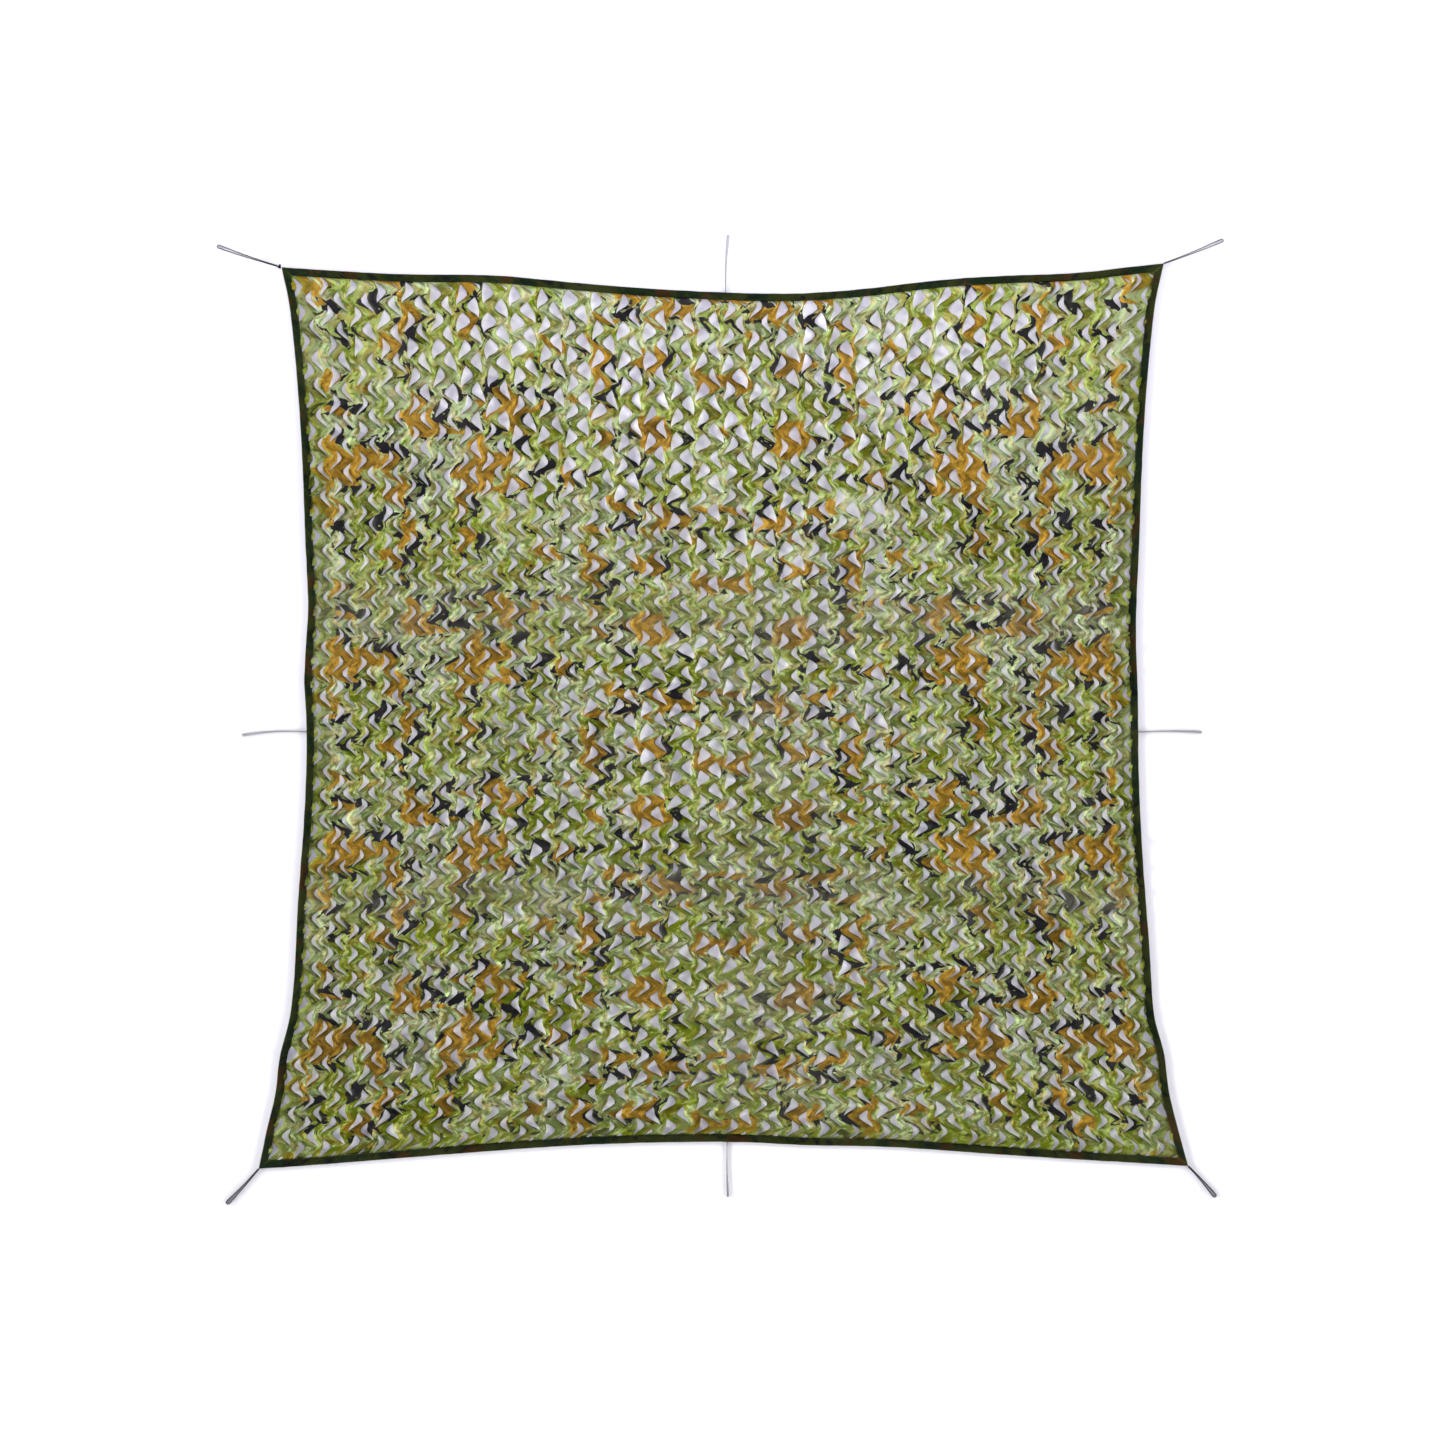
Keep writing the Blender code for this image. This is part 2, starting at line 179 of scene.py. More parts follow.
# How much the cuts differ from one another.
CUT_SEED = 11                     # the same cuts and the same folds on every run
WIDTHS = (0.70, 1.20)             # share of the full width
FIN_WIDENS = 0.12                 # share that a wide fin gains
CREASE_NARROWS = 0.30             # share that a cut on an old fold loses
LEAN = 0.15                       # sideways lean, in column pitches for 3 grid rows
SHIFT = 0.06                      # shift to the side, in column pitches
RISE = 0.55                       # shift along the column, in grid rows
LEAF_LIFTS = (0.35, 1.0)          # lift of the leaf's edge, as a share of the leaf lift
OTHER_LIFTS = (-0.25, 0.32)       # lift of the other edge, which stays down below 0
STRIP_LIFT = 0.22                 # share of both edges' lifts that a strip's middle takes

# Old folds of the cloth, on its flat size in metres.
FOLDS_ACROSS = ((1.89, 0.15), (0.90, 0.12))          # (height, half width)
FOLD_UP = (1.33, 0.20, 0.15, 2.00)                   # (place, half width, from, to)

# Where the net is pulled open: (x, y, half width, half height, amount), sizes in metres.
PULLED_OPEN = (
    (-0.66, 1.25, 0.38, 0.30, 0.98),
    (0.64, 1.25, 0.38, 0.30, 0.93),
    (0.02, 1.26, 0.30, 0.28, 0.48),
    (-1.22, 1.32, 0.24, 0.18, 0.16),
    (1.20, 1.32, 0.24, 0.18, 0.16),
    (-0.33, 0.82, 0.38, 0.22, 0.48),
    (0.33, 0.82, 0.38, 0.22, 0.40),
    (0.08, 0.46, 0.46, 0.24, 0.32),
    (-0.24, 0.05, 0.38, 0.30, 0.46),
    (0.22, 0.06, 0.34, 0.30, 0.56),
    (-0.62, -0.38, 0.60, 0.36, 0.24),
    (0.90, -0.30, 0.40, 0.26, 0.16),
    (0.08, -0.74, 0.52, 0.46, 0.32),
    (0.00, -1.16, 1.60, 0.42, 0.24),
    (-1.28, -1.20, 0.26, 0.26, 0.08),
    (1.28, -1.20, 0.26, 0.26, 0.08),
)
LEAST_OPEN = 0.13


def crease_at(across, up):
    """How near a place on the flat cloth is to an old fold, from 0 to 1."""
    place, reach, low, high = FOLD_UP
    nearest = 0.0
    if low < up < high:
        nearest = max(0.0, 1.0 - abs(across - place) / reach)
    for place, reach in FOLDS_ACROSS:
        nearest = max(nearest, 1.0 - abs(up - place) / reach)
    return nearest


def openness(place):
    """How far the cuts are pulled open at a plan point, 0 a slit and 1 a wide fin."""
    total = LEAST_OPEN
    for x, y, half_width, half_height, amount in PULLED_OPEN:
        distance = ((place.x - x) / half_width) ** 2 + ((place.y - y) / half_height) ** 2
        total += amount * math.exp(-distance)
    return min(total, 1.0)


def stretched(up):
    """Sum of the rows' extra spacing up to a share of the height."""
    reach = STRETCH_FULL - STRETCH_FROM
    t = min(max((up - STRETCH_FROM) / reach, 0.0), 1.0)
    return ROW_STRETCH * (reach * (t ** 3 - t ** 4 / 2) + max(0.0, up - STRETCH_FULL))


def field_point(across, up):
    """Shares of the whole width and height, from shares of the field of cuts inside the tape."""
    up = up * (1 - stretched(1.0)) + stretched(up)
    u = FIELD_EDGE + (1 - 2 * FIELD_EDGE) * across
    v = FIELD_EDGE + (1 - 2 * FIELD_EDGE) * up
    crowding = CROWDING * (1 - soft_step(*CROWDING_FADES, v)) - SPREADING
    return u - crowding * math.sin(2 * math.pi * u), v


def cut_opening(place, chance):
    """How far one cut is open: as its place is, but unevenly from cut to cut."""
    opened = openness(place)
    uneven = 0.62 - 0.36 * soft_step(0.3, 0.9, opened)
    drawn = noise.noise(Vector((place.x * 4.5, place.y * 4.5, 6.0)))
    opened *= 1.0 + uneven * chance.uniform(-1.0, 1.0) + 0.9 * uneven * drawn
    return min(max(opened, 0.0), 1.0)


class CutPlan:
    """Offsets and heights of both edges of every cut, by column and grid row."""

    def __init__(self, settings, chance):
        self.columns = settings.cut_columns
        self.rows = settings.cut_rows
        self.last_column = 2 * self.columns + 2
        self.last_row = SUB_ROWS * self.rows + 2
        self.offset = {}
        self.lift = {}
        self.light_level = {}
        self.rise = {}
        self.cut = set()
        for column in range(self.columns):
            self.plan_column(column, settings, chance)

    def starts(self, column):
        """Grid row of the bottom tip of each cut of a column."""
        if column % 2 == 0:
            return [SUB_ROWS * row + FIRST_CUT_ROW for row in range(self.rows)]
        half_way = FIRST_CUT_ROW + SUB_ROWS // 2
        return [SUB_ROWS * row + half_way for row in range(-1, self.rows)]

    def plan_column(self, column, settings, chance):
        """Draw one column's cuts and note both edges of each at every grid row."""
        mirrored = column % 2 == 1
        across = (column + 0.5) / self.columns
        for start in self.starts(column):
            middle = (start + CUT_ROWS / 2 - 1) / (self.last_row - 2)
            middle = min(max(middle, 0.0), 1.0)
            place = cloth_point(*field_point(across, middle))
            opened = cut_opening(place, chance)
            width = chance.uniform(*WIDTHS) * (1.0 + FIN_WIDENS * soft_step(0.4, 1.0, opened))
            width *= 1.0 - CREASE_NARROWS * crease_at(across * settings.flat_width,
                                                      middle * settings.flat_height)
            lean = chance.uniform(-LEAN, LEAN)
            shift = chance.uniform(-SHIFT, SHIFT)
            rise = chance.uniform(-RISE, RISE)
            leaf = settings.leaf_lift * chance.uniform(*LEAF_LIFTS)
            other = settings.leaf_lift * max(0.0, chance.uniform(*OTHER_LIFTS))
            # A random level of painted light for each edge's leaf: how far it is painted lit or in
            # painted shade.
            light_levels = (chance.random(), chance.random())
            for step in range(CUT_ROWS + 1):
                row = start + CUT_ROWS - step
                if not 0 < row < self.last_row:
                    continue
                left = SLIT_LEFT[step] + (WIDE_LEFT[step] - SLIT_LEFT[step]) * opened
                right = SLIT_RIGHT[step] + (WIDE_RIGHT[step] - SLIT_RIGHT[step]) * opened
                centre = (left + right) / 2
                half = (right - left) / 2 * width
                centre += shift + lean * (step - CUT_ROWS / 2) / 3
                left_lift = leaf * LEAF_CURL[step]
                right_lift = other * LEAF_CURL[step]
                if mirrored:
                    edges = (-centre - half, -centre + half)
                    lifts = (right_lift, left_lift)
                else:
                    edges = (centre - half, centre + half)
                    lifts = (left_lift, right_lift)
                self.offset[column, row] = edges
                self.lift[column, row] = lifts
                self.light_level[column, row] = light_levels
                self.rise[column, row] = rise
                if 0 < step < CUT_ROWS and UNCUT_ROWS < row < self.last_row - UNCUT_ROWS:
                    self.cut.add((column, row))

    def edges_at(self, column, row):
        """Left and right offset of a column's line at any grid row, cut or not."""
        if (column, row) in self.offset:
            return self.offset[column, row]
        below = self.offset.get((column, row - 1))
        above = self.offset.get((column, row + 1))
        near = [pair[0] for pair in (below, above) if pair]
        middle = sum(near) / len(near) if near else 0.0
        return middle, middle

    def lifts_at(self, column, row):
        return self.lift.get((column, row), (0.0, 0.0))

    def light_levels_at(self, column, row):
        return self.light_level.get((column, row), (0.5, 0.5))


def cut_grid(plan):
    """Flat grid of cloth, parted along its cuts, with each point's grid column and row."""
    edit = bmesh.new()
    edit.loops.layers.uv.new("cloth")
    bmesh.ops.create_grid(edit, x_segments=plan.last_column, y_segments=plan.last_row,
                          size=0.5, calc_uvs=True)
    in_column = edit.verts.layers.int.new("grid_column")
    in_row = edit.verts.layers.int.new("grid_row")
    for vert in edit.verts:
        vert[in_column] = round((vert.co.x + 0.5) * plan.last_column)
        vert[in_row] = round((vert.co.y + 0.5) * plan.last_row)
    parted = []
    for edge in edit.edges:
        first, second = edge.verts
        if first[in_column] != second[in_column] or first[in_column] % 2:
            continue
        column = first[in_column] // 2 - 1
        lines = ((column, first[in_row]), (column, second[in_row]))
        if any(line in plan.cut for line in lines):
            parted.append(edge)
    bmesh.ops.split_edges(edit, edges=parted)
    return edit, in_column, in_row


def on_right_of(vert, column, in_column):
    """Whether a parted point belongs to the cloth on the right of its column's line."""
    return min(other[in_column] for other in vert.link_faces[0].verts) >= column


CLOTH_END = 0.0007                # share of the width from the fold to the cloth's own edge
NET_SPAN = 2.93                   # width and height between the middles of the sides
GRIPPED = (24 * MM, 52 * MM)      # from the fold: last held by the tape, first lying free
IN_FOLD = 1.7 * MM                # height of the cloth inside the tape
OFF_FLOOR = 0.6 * MM              # least height of the cloth where it lies free
SWAY = 7 * MM                     # how far the cloth is drawn sideways in places
TIP_EDGE = 0.6                    # strength of the painted shade along a cut's edge at its tip
EDGE_STRIDE = 4                   # of the points along the hidden edge, one in this many is kept


def border_place(plan, column, row, across, up):
    """Shares of the width and height of a point on the cloth's own edge."""
    u, v = field_point(min(max(across, 0.0), 1.0), min(max(up, 0.0), 1.0))
    if column in (0, plan.last_column):
        u = CLOTH_END if column == 0 else 1 - CLOTH_END
    if row in (0, plan.last_row):
        v = CLOTH_END if row == 0 else 1 - CLOTH_END
    return u, v


def settled(u, v, lift, settings):
    """Where a point of the cloth lies: held in the tape at the edge, rippled where free."""
    place = cloth_point(u, v)
    free = soft_step(*GRIPPED, min(u, 1 - u, v, 1 - v) * NET_SPAN)
    sway = noise.noise_vector(Vector((place.x * 3.1, place.y * 3.1, 4.0))) * SWAY
    place = place + sway.xy * free
    ripple = noise.noise(Vector((place.x * 5.0, place.y * 5.0, 1.7)))
    height = settings.ripple_height * min(max(0.0, 0.5 + 0.9 * ripple), 1.0)
    return place.x, place.y, IN_FOLD + (OFF_FLOOR + height + lift - IN_FOLD) * free


def shape_cloth(edit, plan, in_column, in_row, settings):
    """Move the parted grid to the stretched net's form."""
    cut_edge = edit.verts.layers.float.new("cut_edge")
    # Each leaf's level of painted light and shade, for the cloth's material.
    leaf_painted_light = edit.verts.layers.float.new("leaf_painted_light")
    uv_layer = edit.loops.layers.uv["cloth"]
    for face in edit.faces:
        for loop in face.loops:
            uv = loop[uv_layer].uv
            loop[uv_layer].uv = (uv.x * settings.flat_width, uv.y * settings.flat_height)
    for vert in edit.verts:
        column = vert[in_column]
        row = vert[in_row]
        across = (column - 1) / (plan.last_column - 2)
        up = (row - 1) / (plan.last_row - 2)
        lift = 0.0
        vert[leaf_painted_light] = 0.5
        if column in (0, plan.last_column) or row in (0, plan.last_row):
            u, v = border_place(plan, column, row, across, up)
        elif column % 2 == 0:
            line = column // 2 - 1
            parted = (line, row) in plan.cut
            side = 1 if parted and on_right_of(vert, column, in_column) else 0
            across += plan.edges_at(line, row)[side] / plan.columns
            up += plan.rise.get((line, row), 0.0) / (plan.last_row - 2)
            lift = plan.lifts_at(line, row)[side]
            vert[leaf_painted_light] = plan.light_levels_at(line, row)[side]
            vert[cut_edge] = 1.0 if parted else TIP_EDGE
            u, v = field_point(across, up)
        else:
            before = column // 2 - 1
            after = before + 1
            left = plan.edges_at(before, row)[1] if before >= 0 else 0.0
            right = plan.edges_at(after, row)[0] if after < plan.columns else 0.0
            across += (left + right) / 2 / plan.columns
            lift = STRIP_LIFT * (plan.lifts_at(before, row)[1] + plan.lifts_at(after, row)[0])
            vert[leaf_painted_light] = (plan.light_levels_at(before, row)[1] + plan.light_levels_at(after, row)[0]) / 2
            u, v = field_point(across, up)
        vert.co = settled(u, v, lift, settings)


def thin_hidden_edge(edit, plan, in_column, in_row):
    """Drop most points of the cloth's own edge, which lies inside the tape."""
    spare = []
    for vert in edit.verts:
        at_side = vert[in_column] in (0, plan.last_column)
        at_end = vert[in_row] in (0, plan.last_row)
        if at_side != at_end and (vert[in_row] if at_side else vert[in_column]) % EDGE_STRIDE:
            spare.append(vert)
    bmesh.ops.dissolve_verts(edit, verts=spare)


# ---- small builders ----------------------------------------------------------------------
def new_object(name, edit):
    mesh = bpy.data.meshes.new(name)
    edit.to_mesh(mesh)
    edit.free()
    piece = bpy.data.objects.new(name, mesh)
    bpy.context.scene.collection.objects.link(piece)
    return piece


def finish_piece(piece, material):
    """Give a piece its material and set it on the part's body."""
    piece.data.materials.append(material)
    piece.data.shade_smooth()
    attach(piece, BODY)


def thicken(piece, thickness, offset):
    modifier = piece.modifiers.new("thickness", "SOLIDIFY")
    modifier.thickness = thickness
    modifier.offset = offset


def route_frames(route):
    """A turning frame at each point of a route, carried along it without twist."""
    frames = []
    side = None
    for index, point in enumerate(route):
        ahead = route[min(index + 1, len(route) - 1)]
        behind = route[max(index - 1, 0)]
        along = (ahead - behind).normalized()
        if side is None:
            side = along.orthogonal().normalized()
        side = (side - along * side.dot(along)).normalized()
        frames.append((point, side, along.cross(side)))
    return frames


BRAID_STRANDS = 4                 # strands that wind each way round a cord
TUBE_SIDES = 16


def braided_tube(name, route, radius, braid_pitch, braid_depth):
    """Tube rolled from a grid along a route, raised in a braid and closed at both ends."""
    edit = bmesh.new()
    uv_layer = edit.loops.layers.uv.new("cord")
    rings = len(route) - 1
    bmesh.ops.create_grid(edit, x_segments=rings, y_segments=TUBE_SIDES, size=0.5)
    frames = route_frames(route)
    lengths = [0.0]
    for first, second in zip(route, route[1:]):
        lengths.append(lengths[-1] + (second - first).length)
    for face in edit.faces:
        for loop in face.loops:
            ring = round((loop.vert.co.x + 0.5) * rings)
            side = round((loop.vert.co.y + 0.5) * TUBE_SIDES)
            loop[uv_layer].uv = (lengths[ring], side / TUBE_SIDES)
    for vert in edit.verts:
        ring = round((vert.co.x + 0.5) * rings)
        side = round((vert.co.y + 0.5) * TUBE_SIDES)
        point, right, over = frames[ring]
        angle = 2 * math.pi * side / TUBE_SIDES
        around = BRAID_STRANDS * angle
        turn = 2 * math.pi * lengths[ring] / braid_pitch
        raised = math.cos(around + turn) * math.cos(around - turn)
        reach = radius * (1 - braid_depth * (1 - raised) / 2)
        vert.co = point + right * math.cos(angle) * reach + over * math.sin(angle) * reach
    bmesh.ops.remove_doubles(edit, verts=edit.verts, dist=radius * 0.01)
    bmesh.ops.holes_fill(edit, edges=[edge for edge in edit.edges if edge.is_boundary])
    bmesh.ops.recalc_face_normals(edit, faces=edit.faces)
    return new_object(name, edit)


# ---- shader groups -----------------------------------------------------------------------
class Nodes:
    """Short way to place and join nodes in a tree."""

    def __init__(self, tree):
        self.tree = tree

    def add(self, kind, label="", **values):
        node = self.tree.nodes.new(kind)
        node.label = label
        for name, value in values.items():
            if hasattr(node, name):
                setattr(node, name, value)
            else:
                node.inputs[name.replace("_", " ")].default_value = value
        return node

    def join(self, source, target):
        self.tree.links.new(source, target)

    def math(self, operation, first, second=None, third=None):
        node = self.add("ShaderNodeMath", operation=operation)
        for socket, value in zip(node.inputs, (first, second, third)):
            if value is None:
                continue
            if isinstance(value, (int, float)):
                socket.default_value = value
            else:
                self.join(value, socket)
        return node.outputs[0]

    def noise(self, vector, scale, detail=2.0, roughness=0.5, distortion=0.0):
        node = self.add("ShaderNodeTexNoise")
        node.inputs["Detail"].default_value = detail
        node.inputs["Roughness"].default_value = roughness
        node.inputs["Distortion"].default_value = distortion
        if isinstance(scale, (int, float)):
            node.inputs["Scale"].default_value = scale
        else:
            self.join(scale, node.inputs["Scale"])
        self.join(vector, node.inputs["Vector"])
        return node.outputs["Fac"]

    def step(self, value, low, high):
        """0 below low and 1 above high."""
        node = self.add("ShaderNodeMapRange")
        self.join(value, node.inputs["Value"])
        for name, amount in (("From Min", low), ("From Max", high)):
            if isinstance(amount, (int, float)):
                node.inputs[name].default_value = amount
            else:
                self.join(amount, node.inputs[name])
        return node.outputs["Result"]

    def mix(self, mask, first, second, blend="MIX"):
        """Colour mixed by a mask: each of the two is a colour or a socket."""
        node = self.add("ShaderNodeMix", data_type="RGBA", blend_type=blend)
        sockets = [item for item in node.inputs if item.type == "RGBA"]
        if isinstance(mask, (int, float)):
            node.inputs[0].default_value = mask
        else:
            self.join(mask, node.inputs[0])
        for socket, value in zip(sockets, (first, second)):
            if isinstance(value, bpy.types.NodeSocket):
                self.join(value, socket)
            else:
                socket.default_value = (*value[:3], 1.0)
        return [item for item in node.outputs if item.type == "RGBA"][0]


def new_group(name, inputs, outputs):
    """Shader node group with float or vector inputs and float outputs."""
    tree = bpy.data.node_groups.new(name, "ShaderNodeTree")
    for label, default in inputs:
        kind = "NodeSocketVector" if default is None else "NodeSocketFloat"
        socket = tree.interface.new_socket(label, in_out="INPUT", socket_type=kind)
        if default is not None:
            socket.default_value = default
    for label in outputs:
        tree.interface.new_socket(label, in_out="OUTPUT", socket_type="NodeSocketFloat")
    nodes = Nodes(tree)
    source = nodes.add("NodeGroupInput")
    result = nodes.add("NodeGroupOutput")
    return nodes, source, result


def camouflage_print_group():
    """Masks of the printed patches: sage, brown, and the black streaks beside the brown."""
    nodes, source, result = new_group(
        "camouflage_print",
        (("Vector", None), ("Patches", 9.0), ("Brown From", 0.60), ("Shift", 0.03)),
        ("Sage", "Brown", "Black"))
    place = source.outputs["Vector"]
    size = source.outputs["Patches"]
    brown_noise = nodes.noise(place, size, 2.5, 0.5, 0.5)
    edge = source.outputs["Brown From"]
    brown = nodes.step(brown_noise, edge, nodes.math("ADD", edge, 0.008))
    moved = nodes.add("ShaderNodeVectorMath", operation="ADD")
    offset = nodes.add("ShaderNodeCombineXYZ")
    nodes.join(source.outputs["Shift"], offset.inputs["X"])
    nodes.join(nodes.math("MULTIPLY", source.outputs["Shift"], -0.8), offset.inputs["Y"])
    nodes.join(place, moved.inputs[0])
    nodes.join(offset.outputs[0], moved.inputs[1])
    near_brown = nodes.noise(moved.outputs[0], size, 2.5, 0.5, 0.5)
    streak_noise = nodes.noise(moved.outputs[0], nodes.math("MULTIPLY", size, 2.6),
                               2.0, 0.5, 0.9)
    streak = nodes.math("MULTIPLY_ADD", near_brown, 0.45, nodes.math("MULTIPLY", streak_noise, 0.55))
    black_edge = nodes.math("SUBTRACT", edge, 0.024)
    black = nodes.step(streak, black_edge, nodes.math("ADD", black_edge, 0.006))
    black = nodes.math("MULTIPLY", black, nodes.math("SUBTRACT", 1.0, brown))
    sage_noise = nodes.noise(place, nodes.math("MULTIPLY", size, 0.8), 3.0, 0.55, 0.6)
    sage = nodes.step(sage_noise, 0.45, 0.55)
    nodes.join(sage, result.inputs["Sage"])
    nodes.join(brown, result.inputs["Brown"])
    nodes.join(black, result.inputs["Black"])
    return nodes.tree


def woven_cloth_group():
    """Plain weave: a height and a shade that vary from thread to thread."""
    nodes, source, result = new_group(
        "woven_cloth", (("Vector", None), ("Thread", 0.0006)), ("Height", "Shade"))
    split = nodes.add("ShaderNodeSeparateXYZ")
    nodes.join(source.outputs["Vector"], split.inputs[0])
    turns = nodes.math("DIVIDE", math.pi, source.outputs["Thread"])
    warp = nodes.math("SINE", nodes.math("MULTIPLY", split.outputs["X"], turns))
    weft = nodes.math("SINE", nodes.math("MULTIPLY", split.outputs["Y"], turns))
    height = nodes.math("MULTIPLY", warp, weft)
    nodes.join(height, result.inputs["Height"])
    slub = nodes.noise(source.outputs["Vector"], 260.0, 2.0)
    nodes.join(slub, result.inputs["Shade"])
    return nodes.tree


def wear_group():
    """Dust and fading: a slow mask of faded cloth and a fine one of specks."""
    nodes, source, result = new_group(
        "wear_and_dust", (("Vector", None), ("Size", 3.0)), ("Faded", "Speck"))
    slow = nodes.noise(source.outputs["Vector"], source.outputs["Size"], 4.0, 0.6, 0.4)
    nodes.join(nodes.step(slow, 0.42, 0.70), result.inputs["Faded"])
    fine = nodes.noise(source.outputs["Vector"],
                       nodes.math("MULTIPLY", source.outputs["Size"], 60.0), 3.0, 0.7)
    nodes.join(nodes.step(fine, 0.60, 0.72), result.inputs["Speck"])
    return nodes.tree


def braid_group():
    """Braided cord: height of the plaited strands, and a mask that is 0 where their valleys are
    painted in shade, from along and around.
    """
    nodes, source, result = new_group(
        "braid", (("Vector", None), ("Pitch", 0.006)), ("Height", "Shade"))
    split = nodes.add("ShaderNodeSeparateXYZ")
    nodes.join(source.outputs["Vector"], split.inputs[0])
    turn = nodes.math("MULTIPLY", nodes.math("DIVIDE", split.outputs["X"],
                                             source.outputs["Pitch"]), 2 * math.pi)
    around = nodes.math("MULTIPLY", split.outputs["Y"], 2 * math.pi * BRAID_STRANDS)
    first = nodes.math("COSINE", nodes.math("ADD", around, turn))
    second = nodes.math("COSINE", nodes.math("SUBTRACT", around, turn))
    plait = nodes.math("MULTIPLY", first, second)
    nodes.join(plait, result.inputs["Height"])
    nodes.join(nodes.step(plait, -0.2, 0.9), result.inputs["Shade"])
    return nodes.tree


def place_group(nodes, tree, vector, **values):
    node = nodes.add("ShaderNodeGroup")
    node.node_tree = tree
    node.label = tree.name
    nodes.join(vector, node.inputs["Vector"])
    for name, value in values.items():
        node.inputs[name.replace("_", " ")].default_value = value
    return node


def group(name, build):
    return bpy.data.node_groups.get(name) or build()


def new_material(name, specular=0.25, sheen=0.0):
    material = bpy.data.materials.new(name)
    material.use_nodes = True
    shader = material.node_tree.nodes["Principled BSDF"]
    shader.inputs["Specular IOR Level"].default_value = specular
    shader.inputs["Sheen Weight"].default_value = sheen
    return material, shader, Nodes(material.node_tree)


def raise_surface(nodes, shader, height, strength, distance):
    bump = nodes.add("ShaderNodeBump")
    bump.inputs["Strength"].default_value = strength
    bump.inputs["Distance"].default_value = distance
    nodes.join(height, bump.inputs["Height"])
    nodes.join(bump.outputs["Normal"], shader.inputs["Normal"])


# ---- finishes ----------------------------------------------------------------------------
MATT = 0.03                       # specular level of matt cloth and cord
BROWN_SHADE = (0.036, 0.023, 0.001)       # painted shade that the brown's darker strokes lean to
CUT_EDGE_SHADE = (0.016, 0.019, 0.001)    # painted shade that the cloth along a cut leans to
TAPE_DUST = (0.10, 0.10, 0.05)
# Painted shade in the valleys between a cord's plaited strands.
BRAID_VALLEY_SHADE = (0.005, 0.005, 0.004)


def shaded(colour, factor):
    return [value * factor for value in colour]


def fold_creases(nodes, split):
    """Mask of the cloth's old folds: two across it and one up its middle."""
    place, reach, low, high = FOLD_UP
    off_fold = nodes.math("ABSOLUTE", nodes.math("SUBTRACT", split.outputs["X"], place))
    mask = nodes.step(off_fold, reach, 0.0)
    mask = nodes.math("MULTIPLY", mask, nodes.step(split.outputs["Y"], high + 0.1, high - 0.1))
    mask = nodes.math("MULTIPLY", mask, nodes.step(split.outputs["Y"], low - 0.1, low + 0.1))
    for place, reach in FOLDS_ACROSS:
        off_fold = nodes.math("ABSOLUTE", nodes.math("SUBTRACT", split.outputs["Y"], place))
        mask = nodes.math("MAXIMUM", mask, nodes.step(off_fold, reach, 0.0))
    return mask


def border_shade(nodes, split, settings):
    """Mask of painted shade on the cloth along the tape of the left, the right and the bottom."""
    across = nodes.math("SUBTRACT", settings.flat_width / 2, nodes.math(
        "ABSOLUTE", nodes.math("SUBTRACT", split.outputs["X"], settings.flat_width / 2)))
    sides = nodes.math("MULTIPLY", nodes.step(across, 0.098, 0.045), 0.72)
    bottom = nodes.math("MULTIPLY", nodes.step(split.outputs["Y"], 0.090, 0.035), 0.50)
    return nodes.math("MAXIMUM", sides, bottom)


def print_place(nodes, split, settings):
    """Place on the print, which repeats up the cloth and is mirrored about its middle."""
    from_middle = nodes.math("ABSOLUTE", nodes.math("SUBTRACT", split.outputs["X"],
                                                    settings.flat_width / 2))
    turn = nodes.math("MULTIPLY", split.outputs["Y"], 2 * math.pi / settings.print_repeat)
    reach = settings.print_repeat / (2 * math.pi)
    ring = nodes.add("ShaderNodeCombineXYZ")
    nodes.join(from_middle, ring.inputs["X"])
    nodes.join(nodes.math("MULTIPLY", nodes.math("COSINE", turn), reach), ring.inputs["Y"])
    nodes.join(nodes.math("MULTIPLY", nodes.math("SINE", turn), reach), ring.inputs["Z"])
    return from_middle, ring.outputs[0]


def painted_leaf_light(nodes, split, from_middle, mottle):
    """Mask of painted highlight on the leaves' lit strokes, 0 where they are in painted shade; more
    of it high up and at the sides, and leaf by leaf.
    """
    light_level = nodes.add("ShaderNodeAttribute", attribute_name="leaf_painted_light")
    raised = nodes.math("MULTIPLY_ADD", split.outputs["Y"], 0.036, -0.088)
    raised = nodes.math("MULTIPLY_ADD", from_middle, 0.040, raised)
    raised = nodes.math("MULTIPLY_ADD", nodes.math("SUBTRACT", light_level.outputs["Fac"], 0.5), 0.26,
                        raised)
    return nodes.step(nodes.math("ADD", mottle, raised), 0.42, 0.58)


def green_ground(nodes, place, sage_mask, strokes, settings):
    """The two greens of the print, with painted highlight and painted shade in strokes on the
    leaves, tinted warmer and fresher.
    """
    colour = nodes.mix(sage_mask, settings.olive, settings.sage)
    # Painted highlight on the lit strokes and painted shade on the rest of each leaf.
    painted_highlight_green = nodes.mix(0.38, colour, settings.sage)
    painted_shade_green = nodes.mix(0.76, colour, settings.shade_green)
    colour = nodes.mix(strokes, painted_shade_green, painted_highlight_green)
    hue = nodes.noise(place, 34.0, 2.0, 0.6, 0.8)
    colour = nodes.mix(nodes.step(hue, 0.50, 0.585), colour, settings.warm_tint, "MULTIPLY")
    fresh = nodes.math("MULTIPLY", nodes.step(hue, 0.52, 0.45),
                       nodes.math("MULTIPLY_ADD", strokes, -0.3, 1.0))
    return nodes.mix(fresh, colour, settings.fresh_tint, "MULTIPLY")


def painted_cut_shade(nodes, mottle):
    """Mask of painted shade on the cloth along the cuts."""
    attribute = nodes.add("ShaderNodeAttribute", attribute_name="cut_edge")
    edge = nodes.step(attribute.outputs["Fac"], 0.35, 0.95)
    return nodes.math("MULTIPLY", edge, nodes.math("MULTIPLY_ADD", mottle, -0.8, 1.3))


